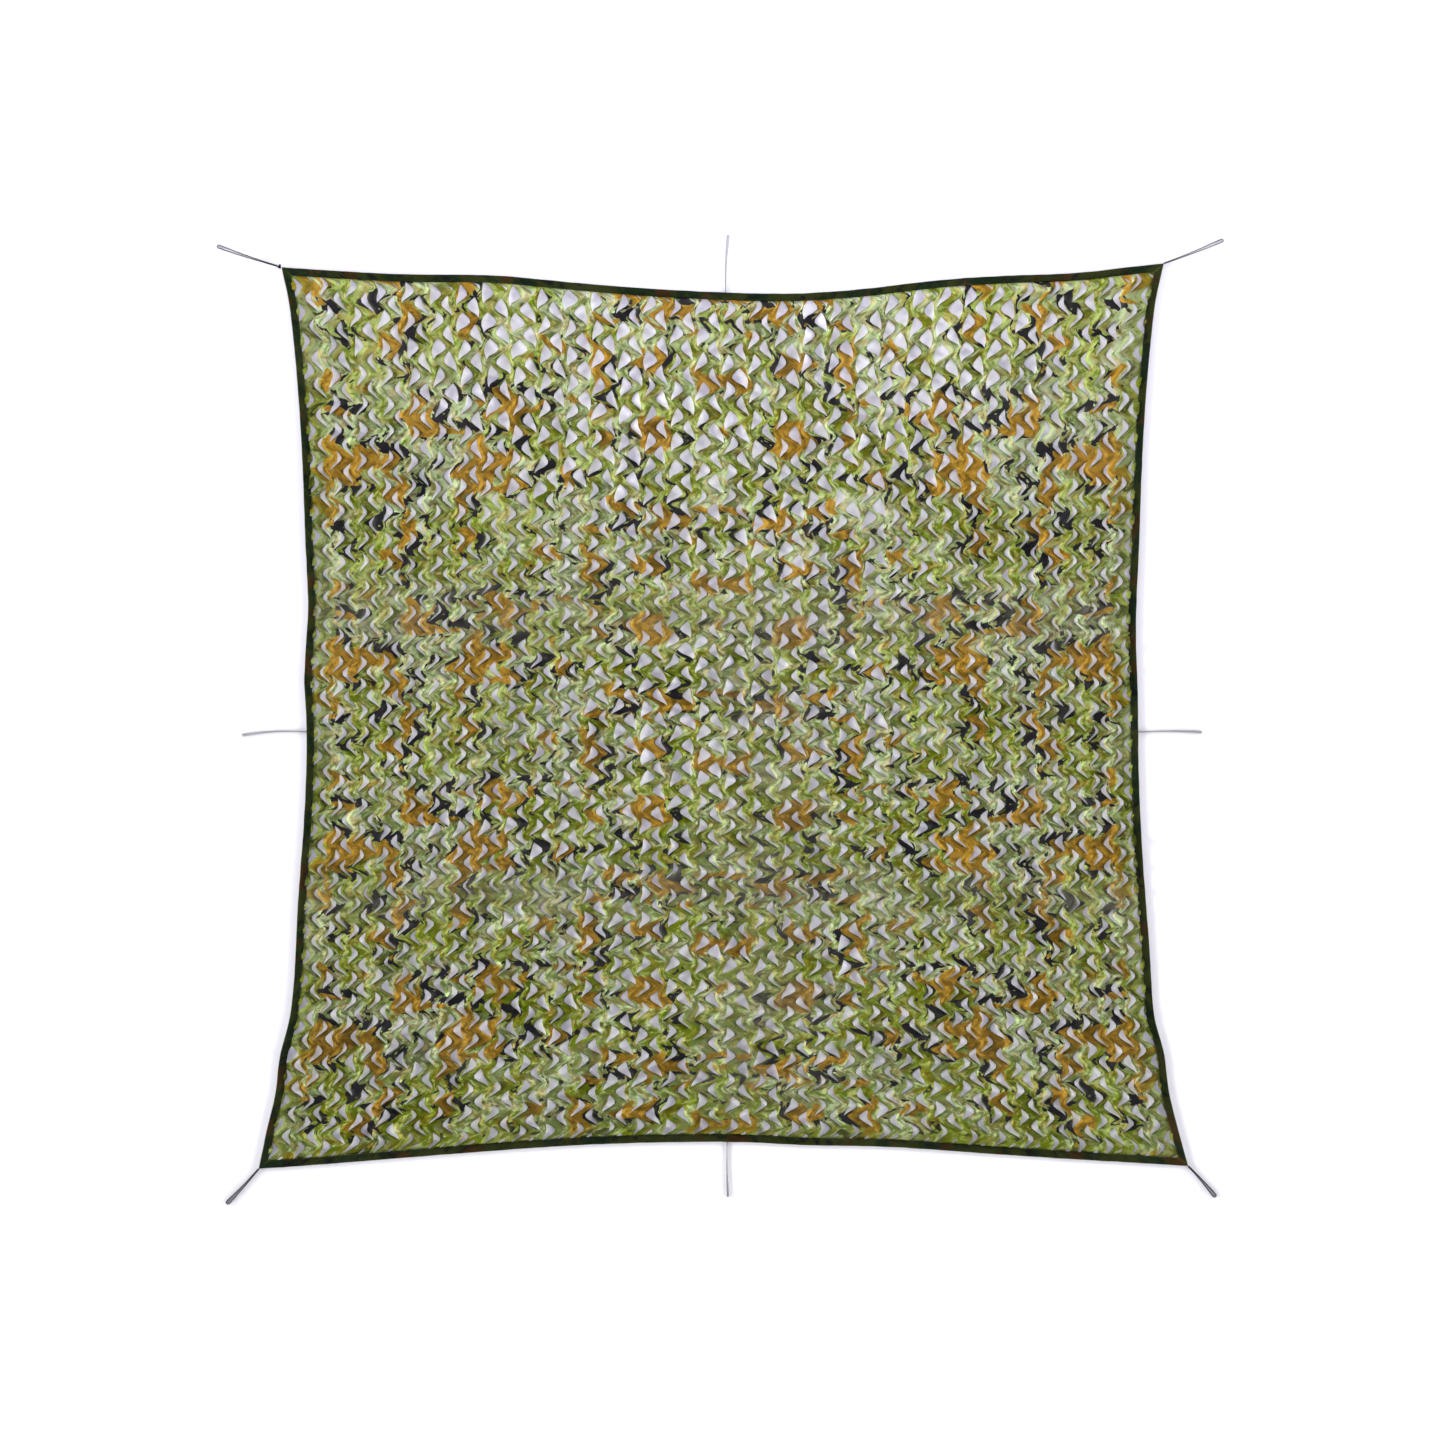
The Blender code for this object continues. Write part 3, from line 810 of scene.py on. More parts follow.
def rubbed_folds(nodes, place, split):
    """Mask of the cloth rubbed pale along its old folds."""
    rubbed = nodes.noise(place, 5.0, 3.0, 0.6, 0.5)
    creases = nodes.math("MULTIPLY", fold_creases(nodes, split), nodes.step(rubbed, 0.36, 0.60))
    return nodes.math("MULTIPLY", creases, 0.30)


def net_cloth_material(settings):
    """Printed woven polyester, worn along its folds, with painted highlight and painted shade on its
    leaves and painted shade along its cuts and tape.
    """
    material, shader, nodes = new_material("printed_net_cloth", MATT)
    place = nodes.add("ShaderNodeUVMap", uv_map="cloth").outputs["UV"]
    split = nodes.add("ShaderNodeSeparateXYZ")
    nodes.join(place, split.inputs[0])
    from_middle, on_print = print_place(nodes, split, settings)
    patches = place_group(nodes, group("camouflage_print", camouflage_print_group), on_print,
                          Patches=9.3, Brown_From=0.585, Shift=0.030)
    weave = place_group(nodes, group("woven_cloth", woven_cloth_group), place, Thread=0.0006)
    wear = place_group(nodes, group("wear_and_dust", wear_group), place, Size=2.2)
    mottle = nodes.noise(place, 54.0, 3.0, 0.65, 0.5)
    strokes = painted_leaf_light(nodes, split, from_middle, mottle)
    colour = green_ground(nodes, place, patches.outputs["Sage"], strokes, settings)
    # The brown leaves in painted shade, with painted highlight on the lit strokes.
    brown = nodes.mix(0.60, settings.brown, BROWN_SHADE)
    brown = nodes.mix(strokes, brown, settings.brown)
    colour = nodes.mix(patches.outputs["Brown"], colour, brown)
    colour = nodes.mix(patches.outputs["Black"], colour, settings.black)
    # Painted shade along the cuts.
    dark = nodes.mix(0.56, colour, CUT_EDGE_SHADE)
    colour = nodes.mix(painted_cut_shade(nodes, mottle), colour, dark)
    # Painted shade along the tape.
    colour = nodes.mix(border_shade(nodes, split, settings), colour, settings.shade_green)
    colour = nodes.mix(rubbed_folds(nodes, place, split), colour, settings.faded)
    faded = nodes.math("MULTIPLY", wear.outputs["Faded"], 0.06)
    colour = nodes.mix(faded, colour, settings.faded)
    shade = nodes.math("MULTIPLY", weave.outputs["Shade"], 0.18)
    colour = nodes.mix(shade, colour, dark)
    nodes.join(colour, shader.inputs["Base Color"])
    rough = nodes.math("MULTIPLY_ADD", weave.outputs["Shade"], 0.16, 0.70)
    nodes.join(rough, shader.inputs["Roughness"])
    raise_surface(nodes, shader, weave.outputs["Height"], 0.35, 0.00012)
    return material


def edging_material(settings):
    """Woven tape printed in long dark patches."""
    material, shader, nodes = new_material("printed_edging_tape", MATT)
    place = nodes.add("ShaderNodeUVMap", uv_map="tape").outputs["UV"]
    squeeze = nodes.add("ShaderNodeMapping")
    squeeze.inputs["Scale"].default_value = (1.0, 0.8, 1.0)
    nodes.join(place, squeeze.inputs["Vector"])
    patches = place_group(nodes, group("camouflage_print", camouflage_print_group),
                          squeeze.outputs[0], Patches=12.0, Brown_From=0.595, Shift=0.04)
    weave = place_group(nodes, group("woven_cloth", woven_cloth_group), place, Thread=0.0008)
    wear = place_group(nodes, group("wear_and_dust", wear_group), place, Size=6.0)
    colour = nodes.mix(patches.outputs["Sage"], settings.green, settings.olive)
    colour = nodes.mix(patches.outputs["Brown"], colour, settings.brown)
    colour = nodes.mix(patches.outputs["Black"], colour, settings.black)
    rubbed = nodes.noise(place, 60.0, 3.0, 0.65, 0.4)
    rubbed = nodes.math("MULTIPLY", nodes.step(rubbed, 0.50, 0.66), 0.45)
    colour = nodes.mix(rubbed, colour, shaded(settings.olive, 1.6))
    faded = nodes.math("MULTIPLY", wear.outputs["Faded"], 0.06)
    colour = nodes.mix(faded, colour, TAPE_DUST)
    nodes.join(colour, shader.inputs["Base Color"])
    rough = nodes.math("MULTIPLY_ADD", weave.outputs["Shade"], 0.18, 0.66)
    nodes.join(rough, shader.inputs["Roughness"])
    raise_surface(nodes, shader, weave.outputs["Height"], 0.5, 0.00018)
    return material


def cord_material(name, dark, light, pitch):
    """Plaited polyester cord with darker and lighter stretches, and painted shade in the braid's
    valleys.
    """
    material, shader, nodes = new_material(name, MATT)
    place = nodes.add("ShaderNodeUVMap", uv_map="cord").outputs["UV"]
    braid = place_group(nodes, group("braid", braid_group), place, Pitch=pitch)
    wear = place_group(nodes, group("wear_and_dust", wear_group), place, Size=22.0)
    colour = nodes.mix(wear.outputs["Faded"], dark, light)
    # Painted shade in the braid's valleys.
    valley_shade = nodes.mix(0.45, colour, BRAID_VALLEY_SHADE)
    colour = nodes.mix(braid.outputs["Shade"], valley_shade, colour)
    nodes.join(colour, shader.inputs["Base Color"])
    rough = nodes.math("MULTIPLY_ADD", wear.outputs["Speck"], 0.15, 0.62)
    nodes.join(rough, shader.inputs["Roughness"])
    raise_surface(nodes, shader, braid.outputs["Height"], 0.6, 0.0002)
    return material


def thread_material(settings):
    """Twisted sewing thread."""
    material, shader, nodes = new_material("sewing_thread", 0.1)
    place = nodes.add("ShaderNodeTexCoord")
    twist = nodes.noise(place.outputs["Object"], 900.0, 2.0)
    colour = nodes.mix(twist, settings.thread, shaded(settings.thread, 2.2))
    nodes.join(colour, shader.inputs["Base Color"])
    nodes.join(nodes.math("MULTIPLY_ADD", twist, 0.2, 0.45), shader.inputs["Roughness"])
    raise_surface(nodes, shader, twist, 0.4, 0.0001)
    return material


def floor_material(settings):
    """Plain pale studio floor."""
    material, shader, _ = new_material("studio_floor", 0.1)
    shader.inputs["Base Color"].default_value = (*settings.floor_colour, 1.0)
    shader.inputs["Roughness"].default_value = 0.9
    return material


# ---- ties --------------------------------------------------------------------------------
TIE_BOTTOM = 3.0 * MM             # thickness of the bottom corners' cord
TIE_TOP = 2.5 * MM                # of the top corners' cord
TIE_SIDE = 2.0 * MM               # and of the cord in the middle of a side
# node: (side, share along it, cord, finish, far end of the loop, sideways bow in mm)
TIES = {
    "tie_bottom_left": ("bottom", 0.0, TIE_BOTTOM, "dark_cord", (-1.650, -1.620), 1.5),
    "tie_bottom_middle": ("bottom", 0.504, TIE_SIDE, "side_cord", (0.015, -1.597), -2.0),
    "tie_bottom_right": ("right", 0.0, TIE_BOTTOM, "dark_cord", (1.635, -1.597), 1.5),
    "tie_right_middle": ("right", 0.482, TIE_SIDE, "side_cord", (1.589, -0.053), 3.0),
    "tie_top_right": ("top", 0.0, TIE_TOP, "olive_cord", (1.660, 1.581), -2.0),
    "tie_top_middle": ("top", 0.497, TIE_SIDE, "side_cord", (0.015, 1.597), 3.0),
    "tie_top_left": ("left", 0.0, TIE_TOP, "olive_cord", (-1.682, 1.561), 2.0),
    "tie_left_middle": ("left", 0.514, TIE_SIDE, "side_cord", (-1.599, -0.063), -6.0),
}
# One strand of a loop: (share of its straight length, share of the loop's half width).
STRAND = ((0.0, 0.0), (0.20, 0.06), (0.42, 0.24), (0.64, 0.53), (0.84, 0.86), (1.0, 1.0))
BEND_ANGLES = (30, 60, 90, 120, 150)      # degrees round the far end
BEND_DIAMETERS = 2.0              # radius of that bend, in cord diameters
STRAND_GAP = 0.3 * MM             # between the two strands, and between them and the net
RING_SPACING = 0.33               # between a cord's rings of points, in cord diameters
SIDE_BRAID = 0.7                  # the thin cord's braid is finer by this
KNOT_TIE = "tie_top_left"
KNOT_ROOM = 13.3 * MM             # the knot stands between this tie and the net


def tie_route(node):
    """Points along one loop of cord: out along a strand, round the bend and back."""
    side, share, cord, _, far_end, bow = TIES[node]
    seat = side_point(side, share)
    away = (Vector(far_end) - seat).normalized()
    start = seat + away * (STRAND_GAP + (KNOT_ROOM if node == KNOT_TIE else 0.0))
    sideways = Vector((-away.y, away.x))
    bend = BEND_DIAMETERS * cord
    touching = (cord + STRAND_GAP) / 2
    straight = (Vector(far_end) - start).length - cord / 2 - bend

    def place(along, aside):
        drift = bow * MM * math.sin(math.pi * min(along / straight, 1.0))
        spot = start + away * along + sideways * (aside + drift)
        return Vector((spot.x, spot.y, cord / 2))

    out = [place(straight * run, touching + (bend - touching) * spread)
           for run, spread in STRAND]
    turn = [place(straight + bend * math.sin(math.radians(angle)),
                  bend * math.cos(math.radians(angle))) for angle in BEND_ANGLES]
    back = [place(straight * run, -touching - (bend - touching) * spread)
            for run, spread in reversed(STRAND)]
    return out + turn + back


STEPS_PER_SPAN = 40               # points read between two points of a route


def even_route(points, spacing):
    """Route read at an even spacing from the smooth curve through its points."""
    fine = []
    for index in range(len(points) - 1):
        p0 = points[max(index - 1, 0)]
        p1 = points[index]
        p2 = points[index + 1]
        p3 = points[min(index + 2, len(points) - 1)]
        for step in range(STEPS_PER_SPAN):
            fine.append(curve_point(p0, p1, p2, p3, step / STEPS_PER_SPAN))
    fine.append(points[-1])
    total = sum((b - a).length for a, b in zip(fine, fine[1:]))
    count = round(total / spacing)
    route = [fine[0]]
    wanted = total / count
    walked = 0.0
    for first, second in zip(fine, fine[1:]):
        length = (second - first).length
        while walked + length >= wanted * len(route) and len(route) < count:
            share = (wanted * len(route) - walked) / length
            route.append(first.lerp(second, share))
        walked += length
    route.append(fine[-1])
    return route, total


# ---- settings ----------------------------------------------------------------------------
def colour_property(name, description, default):
    return bpy.props.FloatVectorProperty(name=name, description=description, default=default,
                                         size=3, subtype="COLOR", min=0.0, max=1.0)


def length_property(name, description, default):
    return bpy.props.FloatProperty(name=name, description=description, default=default,
                                   min=0.0, unit="LENGTH", precision=4)


class NetClothSettings(bpy.types.PropertyGroup):
    """Sizes and colours of the cut cloth."""
    cut_columns: bpy.props.IntProperty(
        name="Columns of cuts", description="Columns of leaf cuts across the net", default=64)
    cut_rows: bpy.props.IntProperty(
        name="Rows of cuts", description="Leaf cuts along one column", default=35)
    flat_width: length_property("Flat width", "Width of the cloth before it was cut", 2.45)
    flat_height: length_property("Flat height", "Height of the cloth before it was cut", 2.95)
    thickness: length_property("Thickness", "Thickness of the cloth", 0.0005)
    leaf_lift: length_property("Leaf lift", "How high the leaves' edges curl up", 0.010)
    ripple_height: length_property("Ripples", "Height of the cloth's slow ripples", 0.008)
    print_repeat: length_property("Print repeat", "Repeat of the print up the cloth", 0.655)
    olive: colour_property("Olive", "First green of the print", (0.222, 0.262, 0.009))
    sage: colour_property("Sage", "Second green of the print", (0.362, 0.413, 0.268))
    # Moss is the dark green of the painted shade on the leaves and along the tape, not a green of
    # the print.
    shade_green: colour_property("Moss", "Darkest green of the print", (0.060, 0.076, 0.002))
    brown: colour_property("Brown", "Brown patches of the print", (0.300, 0.168, 0.018))
    black: colour_property("Black", "Black patches of the print", (0.011, 0.010, 0.014))
    faded: colour_property("Faded", "Cloth rubbed pale along its old folds",
                           (0.220, 0.215, 0.150))
    warm_tint: colour_property("Warm tint", "Tint of the browner strokes of green",
                               (0.97, 0.76, 0.50))
    fresh_tint: colour_property("Fresh tint", "Tint of the fresher strokes of green",
                                (0.85, 0.97, 0.58))


class EdgingSettings(bpy.types.PropertyGroup):
    """Sizes and colours of the folded edging and its stitching."""
    tape_width: length_property("Tape width", "Width of the folded tape on each face", 0.025)
    thickness: length_property("Thickness", "Thickness of the tape", 0.0008)
    pucker: length_property("Pucker", "Height of the tape's puckers", 0.0012)
    stitch_pitch: length_property("Stitch pitch", "Length of one stitch and its gap", 0.0065)
    stitch_inset: length_property("Stitch inset", "From the fold to the stitching", 0.0208)
    green: colour_property("Green", "Dark green of the tape", (0.003, 0.009, 0.003))
    olive: colour_property("Olive", "Paler olive of the tape", (0.014, 0.018, 0.003))
    brown: colour_property("Brown", "Brown of the tape", (0.022, 0.010, 0.002))
    black: colour_property("Black", "Black of the tape", (0.003, 0.003, 0.003))
    thread: colour_property("Thread", "Sewing thread", (0.008, 0.014, 0.007))


class CordSettings(bpy.types.PropertyGroup):
    """Look of the ties' cords."""
    braid_pitch: length_property("Braid pitch", "Length of one turn of the braid", 0.007)
    braid_depth: bpy.props.FloatProperty(
        name="Braid depth", description="Depth of the braid as a share of the radius",
        default=0.14, min=0.0, max=0.5, subtype="FACTOR")
    dark: colour_property("Dark cord", "Cord of the bottom corners and knot",
                          (0.006, 0.006, 0.005))
    olive: colour_property("Olive cord", "Cord of the top corners", (0.032, 0.032, 0.023))
    side: colour_property("Side cord", "Cord of the four sides' middles", (0.42, 0.42, 0.39))


class StageSettings(bpy.types.PropertyGroup):
    """Floor, light and camera."""
    floor_colour: colour_property("Floor", "Colour of the floor", (0.78, 0.78, 0.78))
    sky_colour: colour_property("Fill light", "Colour of the light from all round",
                                (0.81, 0.78, 0.96))
    sky_strength: bpy.props.FloatProperty(
        name="Fill strength", description="Strength of the light from all round", default=0.16)
    over_colour: colour_property("Overhead light", "Colour of the light from overhead",
                                 (0.81, 0.76, 1.00))
    over_power: bpy.props.FloatProperty(
        name="Overhead power", description="Power of the light overhead in watts", default=765.0)
    strip_power: bpy.props.FloatProperty(
        name="Strip power", description="Power of the strip light over the top edge in watts",
        default=14.5)
    side_strength: bpy.props.FloatProperty(
        name="Side strength", description="Strength of each of the low soft lights", default=9.0)
    side_height: bpy.props.FloatProperty(
        name="Side light height", description="How high the low lights stand over the floor",
        default=math.radians(6), subtype="ANGLE")
    camera_height: length_property("Camera height", "Height of the camera over the net", 11.29)
    lens: bpy.props.FloatProperty(name="Lens", description="Focal length in millimetres",
                                  default=85.0)


# ---- operators ---------------------------------------------------------------------------
class CAMONET_OT_cloth(bpy.types.Operator):
    """Make the printed, leaf-cut cloth"""
    bl_idname = "camonet.cloth"
    bl_label = "Net cloth"

    def execute(self, context):
        settings = context.scene.net_cloth
        noise.seed_set(CUT_SEED)
        plan = CutPlan(settings, random.Random(CUT_SEED))
        edit, in_column, in_row = cut_grid(plan)
        shape_cloth(edit, plan, in_column, in_row, settings)
        thin_hidden_edge(edit, plan, in_column, in_row)
        piece = new_object("cut_cloth", edit)
        finish_piece(piece, net_cloth_material(settings))
        thicken(piece, settings.thickness, 1.0)
        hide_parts("net_cloth")
        return {"FINISHED"}


# Section of the folded tape, from the lower leaf's inner edge round the fold to the upper
# one: (inset as a share of the tape's width, height in mm).
TAPE_SECTION = (
    (1.00, 0.20), (0.70, 0.15), (0.40, 0.15), (0.18, 0.20), (0.07, 0.40), (0.02, 1.00),
    (0.00, 2.00), (0.02, 3.00), (0.07, 3.70), (0.16, 4.05), (0.32, 4.10), (0.50, 4.00),
    (0.66, 3.80), (0.78, 3.50), (0.86, 3.35), (1.00, 3.60))
UPPER_LEAF = 8                    # first point of that section that lies on the upper leaf
TAPE_STATIONS = 300               # places along a side where the section stands
TAPE_END_GAP = 0.22 * MM          # each mitred end is set back by this, along its side
TAPE_PRINT_LENGTH = 3.0           # of tape along each side
TAPE_WOBBLE = 0.8 * MM            # how far the fold strays from a straight line
STITCHED_AT = 0.83                # depth of the stitching, as a share of the tape's width


def pucker_at(side, share, depth):
    """Height that the gathered upper leaf adds at a place, from 0 at the stitching."""
    run = (SIDE_NAMES.index(side) * 7.0 + share) * 3.0
    wave = (0.6 * noise.noise(Vector((run * 34.0, depth * 1.5, 3.0)))
            + 0.4 * noise.noise(Vector((run * 92.0, depth * 2.0, 8.0))))
    from_stitch = min(abs(depth - STITCHED_AT) / 0.3, 1.0)
    at_fold = soft_step(0.02, 0.25, depth)
    return wave * from_stitch * at_fold


def tape_station(side, share, settings):
    """The folded tape's section at one place along its side."""
    along = side_direction(side, share)
    set_back = along * TAPE_END_GAP
    shift = {0.0: set_back, 1.0: -set_back}.get(share, Vector((0.0, 0.0)))
    run = SIDE_NAMES.index(side) * 5.0 + share * 60.0
    wobble = TAPE_WOBBLE * noise.noise(Vector((run, 0.0, 0.0)))
    section = []
    for index, (depth, height) in enumerate(TAPE_SECTION):
        place = inset_point(side, share, depth * settings.tape_width + wobble * (1 - depth)) + shift
        raised = height * MM
        if index >= UPPER_LEAF:
            raised += settings.pucker * pucker_at(side, share, depth)
        section.append(Vector((place.x, place.y, raised)))
    return section


class CAMONET_OT_edging(bpy.types.Operator):
    """Make the folded tape of each side"""
    bl_idname = "camonet.edging"
    bl_label = "Edging tapes"

    def execute(self, context):
        settings = context.scene.net_edging
        material = edging_material(settings)
        for side in SIDE_NAMES:
            piece = self.make_tape(side, settings)
            finish_piece(piece, material)
            thicken(piece, settings.thickness, -1.0)
            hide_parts("edging_" + side)
        return {"FINISHED"}

    def make_tape(self, side, settings):
        edit = bmesh.new()
        uv_layer = edit.loops.layers.uv.new("tape")
        last_place = len(TAPE_SECTION) - 1
        bmesh.ops.create_grid(edit, x_segments=TAPE_STATIONS, y_segments=last_place, size=0.5)
        around = [0.0]
        for first, second in zip(TAPE_SECTION, TAPE_SECTION[1:]):
            step = Vector(((second[0] - first[0]) * settings.tape_width,
                           (second[1] - first[1]) * MM))
            around.append(around[-1] + step.length)
        start = SIDE_NAMES.index(side) * TAPE_PRINT_LENGTH
        for face in edit.faces:
            for loop in face.loops:
                share = loop.vert.co.x + 0.5
                place = round((loop.vert.co.y + 0.5) * last_place)
                loop[uv_layer].uv = (start + TAPE_PRINT_LENGTH * share, around[place])
        sections = [tape_station(side, station / TAPE_STATIONS, settings)
                    for station in range(TAPE_STATIONS + 1)]
        for vert in edit.verts:
            station = round((vert.co.x + 0.5) * TAPE_STATIONS)
            place = round((vert.co.y + 0.5) * last_place)
            vert.co = sections[station][place]
        bmesh.ops.recalc_face_normals(edit, faces=edit.faces)
        top = max(edit.faces, key=lambda face: face.calc_center_median().z)
        if top.normal.z < 0:
            bmesh.ops.reverse_faces(edit, faces=edit.faces)
        return new_object("folded_tape_" + side, edit)


STITCH_SIZE = (0.82, 0.8 * MM, 0.6 * MM)        # share of the pitch, width and height
STITCH_HEIGHT = 3.45 * MM         # of a stitch's middle over the floor
SEAM_START = 0.025                # from the corner to the first stitch


class CAMONET_OT_stitching(bpy.types.Operator):
    """Make the rows of stitches that hold the edging"""
    bl_idname = "camonet.stitching"
    bl_label = "Stitching"

    def execute(self, context):
        settings = context.scene.net_edging
        material = thread_material(settings)
        for side in SIDE_NAMES:
            piece = new_object("stitching_" + side, self.sew(side, settings))
            finish_piece(piece, material)
        return {"FINISHED"}

    def sew(self, side, settings):
        """One rounded stitch, copied along the seam."""
        one = bmesh.new()
        bmesh.ops.create_uvsphere(one, u_segments=6, v_segments=4, radius=0.5)
        stitch = bpy.data.meshes.new("stitch")
        one.to_mesh(stitch)
        one.free()
        seam = bmesh.new()
        long, wide, high = STITCH_SIZE
        size = Matrix.Diagonal((settings.stitch_pitch * long, wide, high, 1.0))
        length = sum((b - a).length for a, b in zip(SIDES[side], SIDES[side][1:]))
        for index in range(int((length - 2 * SEAM_START) / settings.stitch_pitch)):
            share = ((index + 0.5) * settings.stitch_pitch + SEAM_START) / length
            along = side_direction(side, share)
            place = inset_point(side, share, settings.stitch_inset)
            turn = Matrix.Rotation(math.atan2(along.y, along.x), 4, "Z")
            seat = Matrix.Translation((place.x, place.y, STITCH_HEIGHT)) @ turn @ size
            stitch.transform(seat)
            seam.from_mesh(stitch)
            stitch.transform(seat.inverted())
        bpy.data.meshes.remove(stitch)
        return seam


class CAMONET_OT_ties(bpy.types.Operator):
    """Make the eight tie loops"""
    bl_idname = "camonet.ties"
    bl_label = "Tie loops"

    def execute(self, context):
        settings = context.scene.net_cords
        pitch = settings.braid_pitch
        finishes = {
            "dark_cord": cord_material("dark_cord", settings.dark,
                                       shaded(settings.dark, 2.0), pitch),
            "olive_cord": cord_material("olive_cord", shaded(settings.olive, 0.45),
                                        shaded(settings.olive, 1.3), pitch),
            "side_cord": cord_material("side_cord", shaded(settings.side, 0.5),
                                       shaded(settings.side, 1.3), pitch * SIDE_BRAID),
        }
        for node, (_, _, cord, finish, _, _) in TIES.items():
            route, length = even_route(tie_route(node), cord * RING_SPACING)
            piece = braided_tube("cord_" + node, route, cord / 2,
                                 pitch * (1.0 if cord > TIE_SIDE else SIDE_BRAID),
                                 settings.braid_depth)
            finish_piece(piece, finishes[finish])
            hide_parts(node)
        return {"FINISHED"}


KNOT_CORD = 2.0 * MM              # radius of the cord in the knot, its two strands as one
KNOT_REACH = (4.3 * MM, 6.3 * MM, 2.1 * MM)     # of its middle line along, across and up
KNOT_HEIGHT = 4.5 * MM            # of its middle over the floor
KNOT_STEPS = 144                  # points of that line


class CAMONET_OT_knot(bpy.types.Operator):
    """Make the knot of the top left corner's cord"""
    bl_idname = "camonet.knot"
    bl_label = "Corner knot"

    def execute(self, context):
        settings = context.scene.net_cords
        low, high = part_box("tie_knot_top_left")
        middle = (Vector(low) + Vector(high)) / 2
        middle.z = KNOT_HEIGHT
        tie = tie_route(KNOT_TIE)
        away = (tie[3] - tie[0]).normalized()
        turned = Matrix.Rotation(math.atan2(away.y, away.x), 4, "Z")
        reach_along, reach_across, reach_up = KNOT_REACH
        route = []
        for step in range(KNOT_STEPS + 1):
            t = 2 * math.pi * step / KNOT_STEPS
            spot = Vector(((math.sin(t) + 2 * math.sin(2 * t)) / 3 * reach_along,
                           (math.cos(t) - 2 * math.cos(2 * t)) / 3 * reach_across,
                           -math.sin(3 * t) * reach_up))
            route.append(middle + turned @ spot)
        piece = braided_tube("knotted_cord", route, KNOT_CORD, settings.braid_pitch,
                             settings.braid_depth)
        material = cord_material("knot_cord", settings.dark, shaded(settings.dark, 2.0),
                                 settings.braid_pitch)
        finish_piece(piece, material)
        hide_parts("tie_knot_top_left")
        return {"FINISHED"}


FLOOR_HALF = 20.0                 # half the width of the floor
FLOOR_DROP = 0.05 * MM            # the floor lies this far under the net
OVERHEAD_AT = (0.0, 3.4, 6.6)     # above and beyond the top edge
OVERHEAD_SIZE = 0.9               # radius of the soft globe
STRIP_AT = (0.0, 2.3, 1.0)        # low, beyond the top edge
STRIP_SIZE = (3.2, 0.4)           # along the top edge, and across it
# Low soft lights round the net: (bearing in degrees, share of the strength).
SIDE_LIGHTS = ((20, 0.25), (65, 0.70), (110, 0.70), (155, 0.25),
               (200, 0.25), (245, 0.88), (290, 0.88), (335, 0.25))
SIDE_LIGHT_ANGLE = math.radians(6)        # how wide each of them looks from the net
CAMERA_OVER = (-0.0116, -0.0131)  # point of the floor that the camera stands over


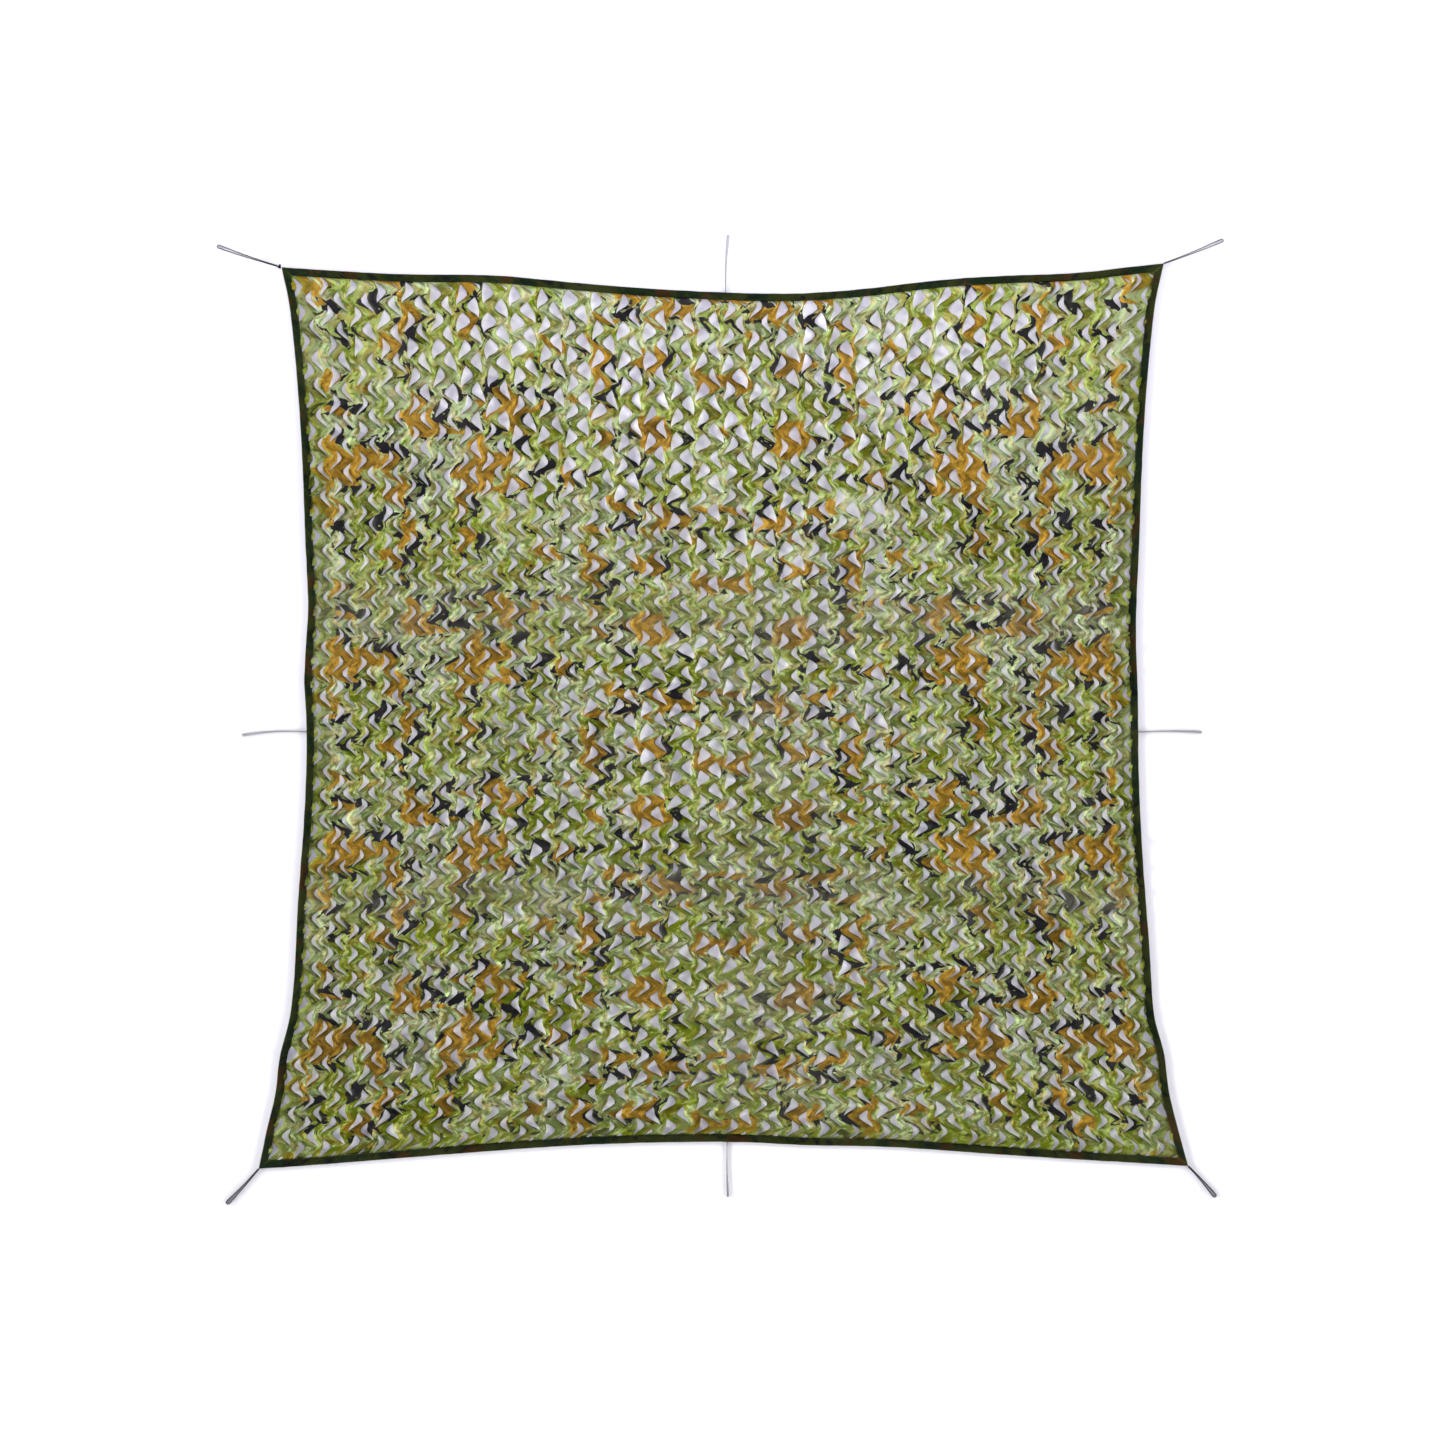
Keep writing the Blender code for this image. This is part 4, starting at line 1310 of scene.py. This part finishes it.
class CAMONET_OT_stage(bpy.types.Operator):
    """Make the floor, the lights and the camera"""
    bl_idname = "camonet.stage"
    bl_label = "Floor, light and camera"

    def execute(self, context):
        settings = context.scene.net_stage
        edit = bmesh.new()
        bmesh.ops.create_grid(edit, x_segments=1, y_segments=1, size=FLOOR_HALF)
        bmesh.ops.translate(edit, verts=edit.verts, vec=(0, 0, -FLOOR_DROP))
        floor = new_object("floor", edit)
        floor.data.materials.append(floor_material(settings))
        world = bpy.data.worlds.new("fill_light")
        world.use_nodes = True
        sky = world.node_tree.nodes["Background"]
        sky.inputs["Color"].default_value = (*settings.sky_colour, 1.0)
        sky.inputs["Strength"].default_value = settings.sky_strength
        context.scene.world = world
        over = self.add_light("overhead_light", "POINT", settings.over_power,
                              settings.over_colour)
        over.data.shadow_soft_size = OVERHEAD_SIZE
        over.location = OVERHEAD_AT
        strip = self.add_light("top_strip_light", "AREA", settings.strip_power,
                               settings.over_colour)
        strip.data.shape = "RECTANGLE"
        strip.data.size, strip.data.size_y = STRIP_SIZE
        strip.location = STRIP_AT
        for bearing, share in SIDE_LIGHTS:
            lamp = self.add_light("side_light", "SUN", settings.side_strength * share,
                                  (1.0, 1.0, 1.0))
            lamp.data.angle = SIDE_LIGHT_ANGLE
            lamp.rotation_euler = (math.radians(90) - settings.side_height, 0.0,
                                   math.radians(bearing))
        camera = bpy.data.cameras.new("camera")
        camera.lens = settings.lens
        camera.sensor_width = 36.0
        camera.clip_end = 100.0
        eye = bpy.data.objects.new("camera", camera)
        eye.location = (*CAMERA_OVER, settings.camera_height)
        context.scene.collection.objects.link(eye)
        context.scene.camera = eye
        context.scene.view_settings.view_transform = "Standard"
        return {"FINISHED"}

    def add_light(self, name, kind, strength, colour):
        light = bpy.data.lights.new(name, kind)
        light.energy = strength
        light.color = colour
        lamp = bpy.data.objects.new(name, light)
        lamp.visible_camera = False
        bpy.context.scene.collection.objects.link(lamp)
        return lamp


class CAMONET_PT_panel(bpy.types.Panel):
    """Settings and makers of the camouflage net"""
    bl_idname = "CAMONET_PT_panel"
    bl_label = "Camouflage net"
    bl_space_type = "VIEW_3D"
    bl_region_type = "UI"
    bl_category = "Camouflage net"

    def draw(self, context):
        layout = self.layout
        for title, name, makers in PANEL_ROWS:
            box = layout.box()
            box.label(text=title)
            settings = getattr(context.scene, name)
            for key in settings.bl_rna.properties.keys():
                if key not in {"rna_type", "name"}:
                    box.prop(settings, key)
            for maker in makers:
                box.operator(maker)


PANEL_ROWS = (
    ("Cloth", "net_cloth", ("camonet.cloth",)),
    ("Edging", "net_edging", ("camonet.edging", "camonet.stitching")),
    ("Ties", "net_cords", ("camonet.ties", "camonet.knot")),
    ("Stage", "net_stage", ("camonet.stage",)),
)
CLASSES = (
    NetClothSettings, EdgingSettings, CordSettings, StageSettings,
    CAMONET_OT_stage, CAMONET_OT_ties, CAMONET_OT_knot, CAMONET_OT_cloth,
    CAMONET_OT_edging, CAMONET_OT_stitching, CAMONET_PT_panel,
)


def register():
    for item in CLASSES:
        bpy.utils.register_class(item)
    bpy.types.Scene.net_cloth = bpy.props.PointerProperty(type=NetClothSettings)
    bpy.types.Scene.net_edging = bpy.props.PointerProperty(type=EdgingSettings)
    bpy.types.Scene.net_cords = bpy.props.PointerProperty(type=CordSettings)
    bpy.types.Scene.net_stage = bpy.props.PointerProperty(type=StageSettings)


def unregister():
    del bpy.types.Scene.net_stage
    del bpy.types.Scene.net_cords
    del bpy.types.Scene.net_edging
    del bpy.types.Scene.net_cloth
    for item in reversed(CLASSES):
        bpy.utils.unregister_class(item)


def main():
    register()
    bpy.ops.camonet.stage()
    bpy.ops.camonet.ties()
    bpy.ops.camonet.knot()
    bpy.ops.camonet.cloth()
    bpy.ops.camonet.edging()
    bpy.ops.camonet.stitching()


if __name__ == "__main__":
    main()
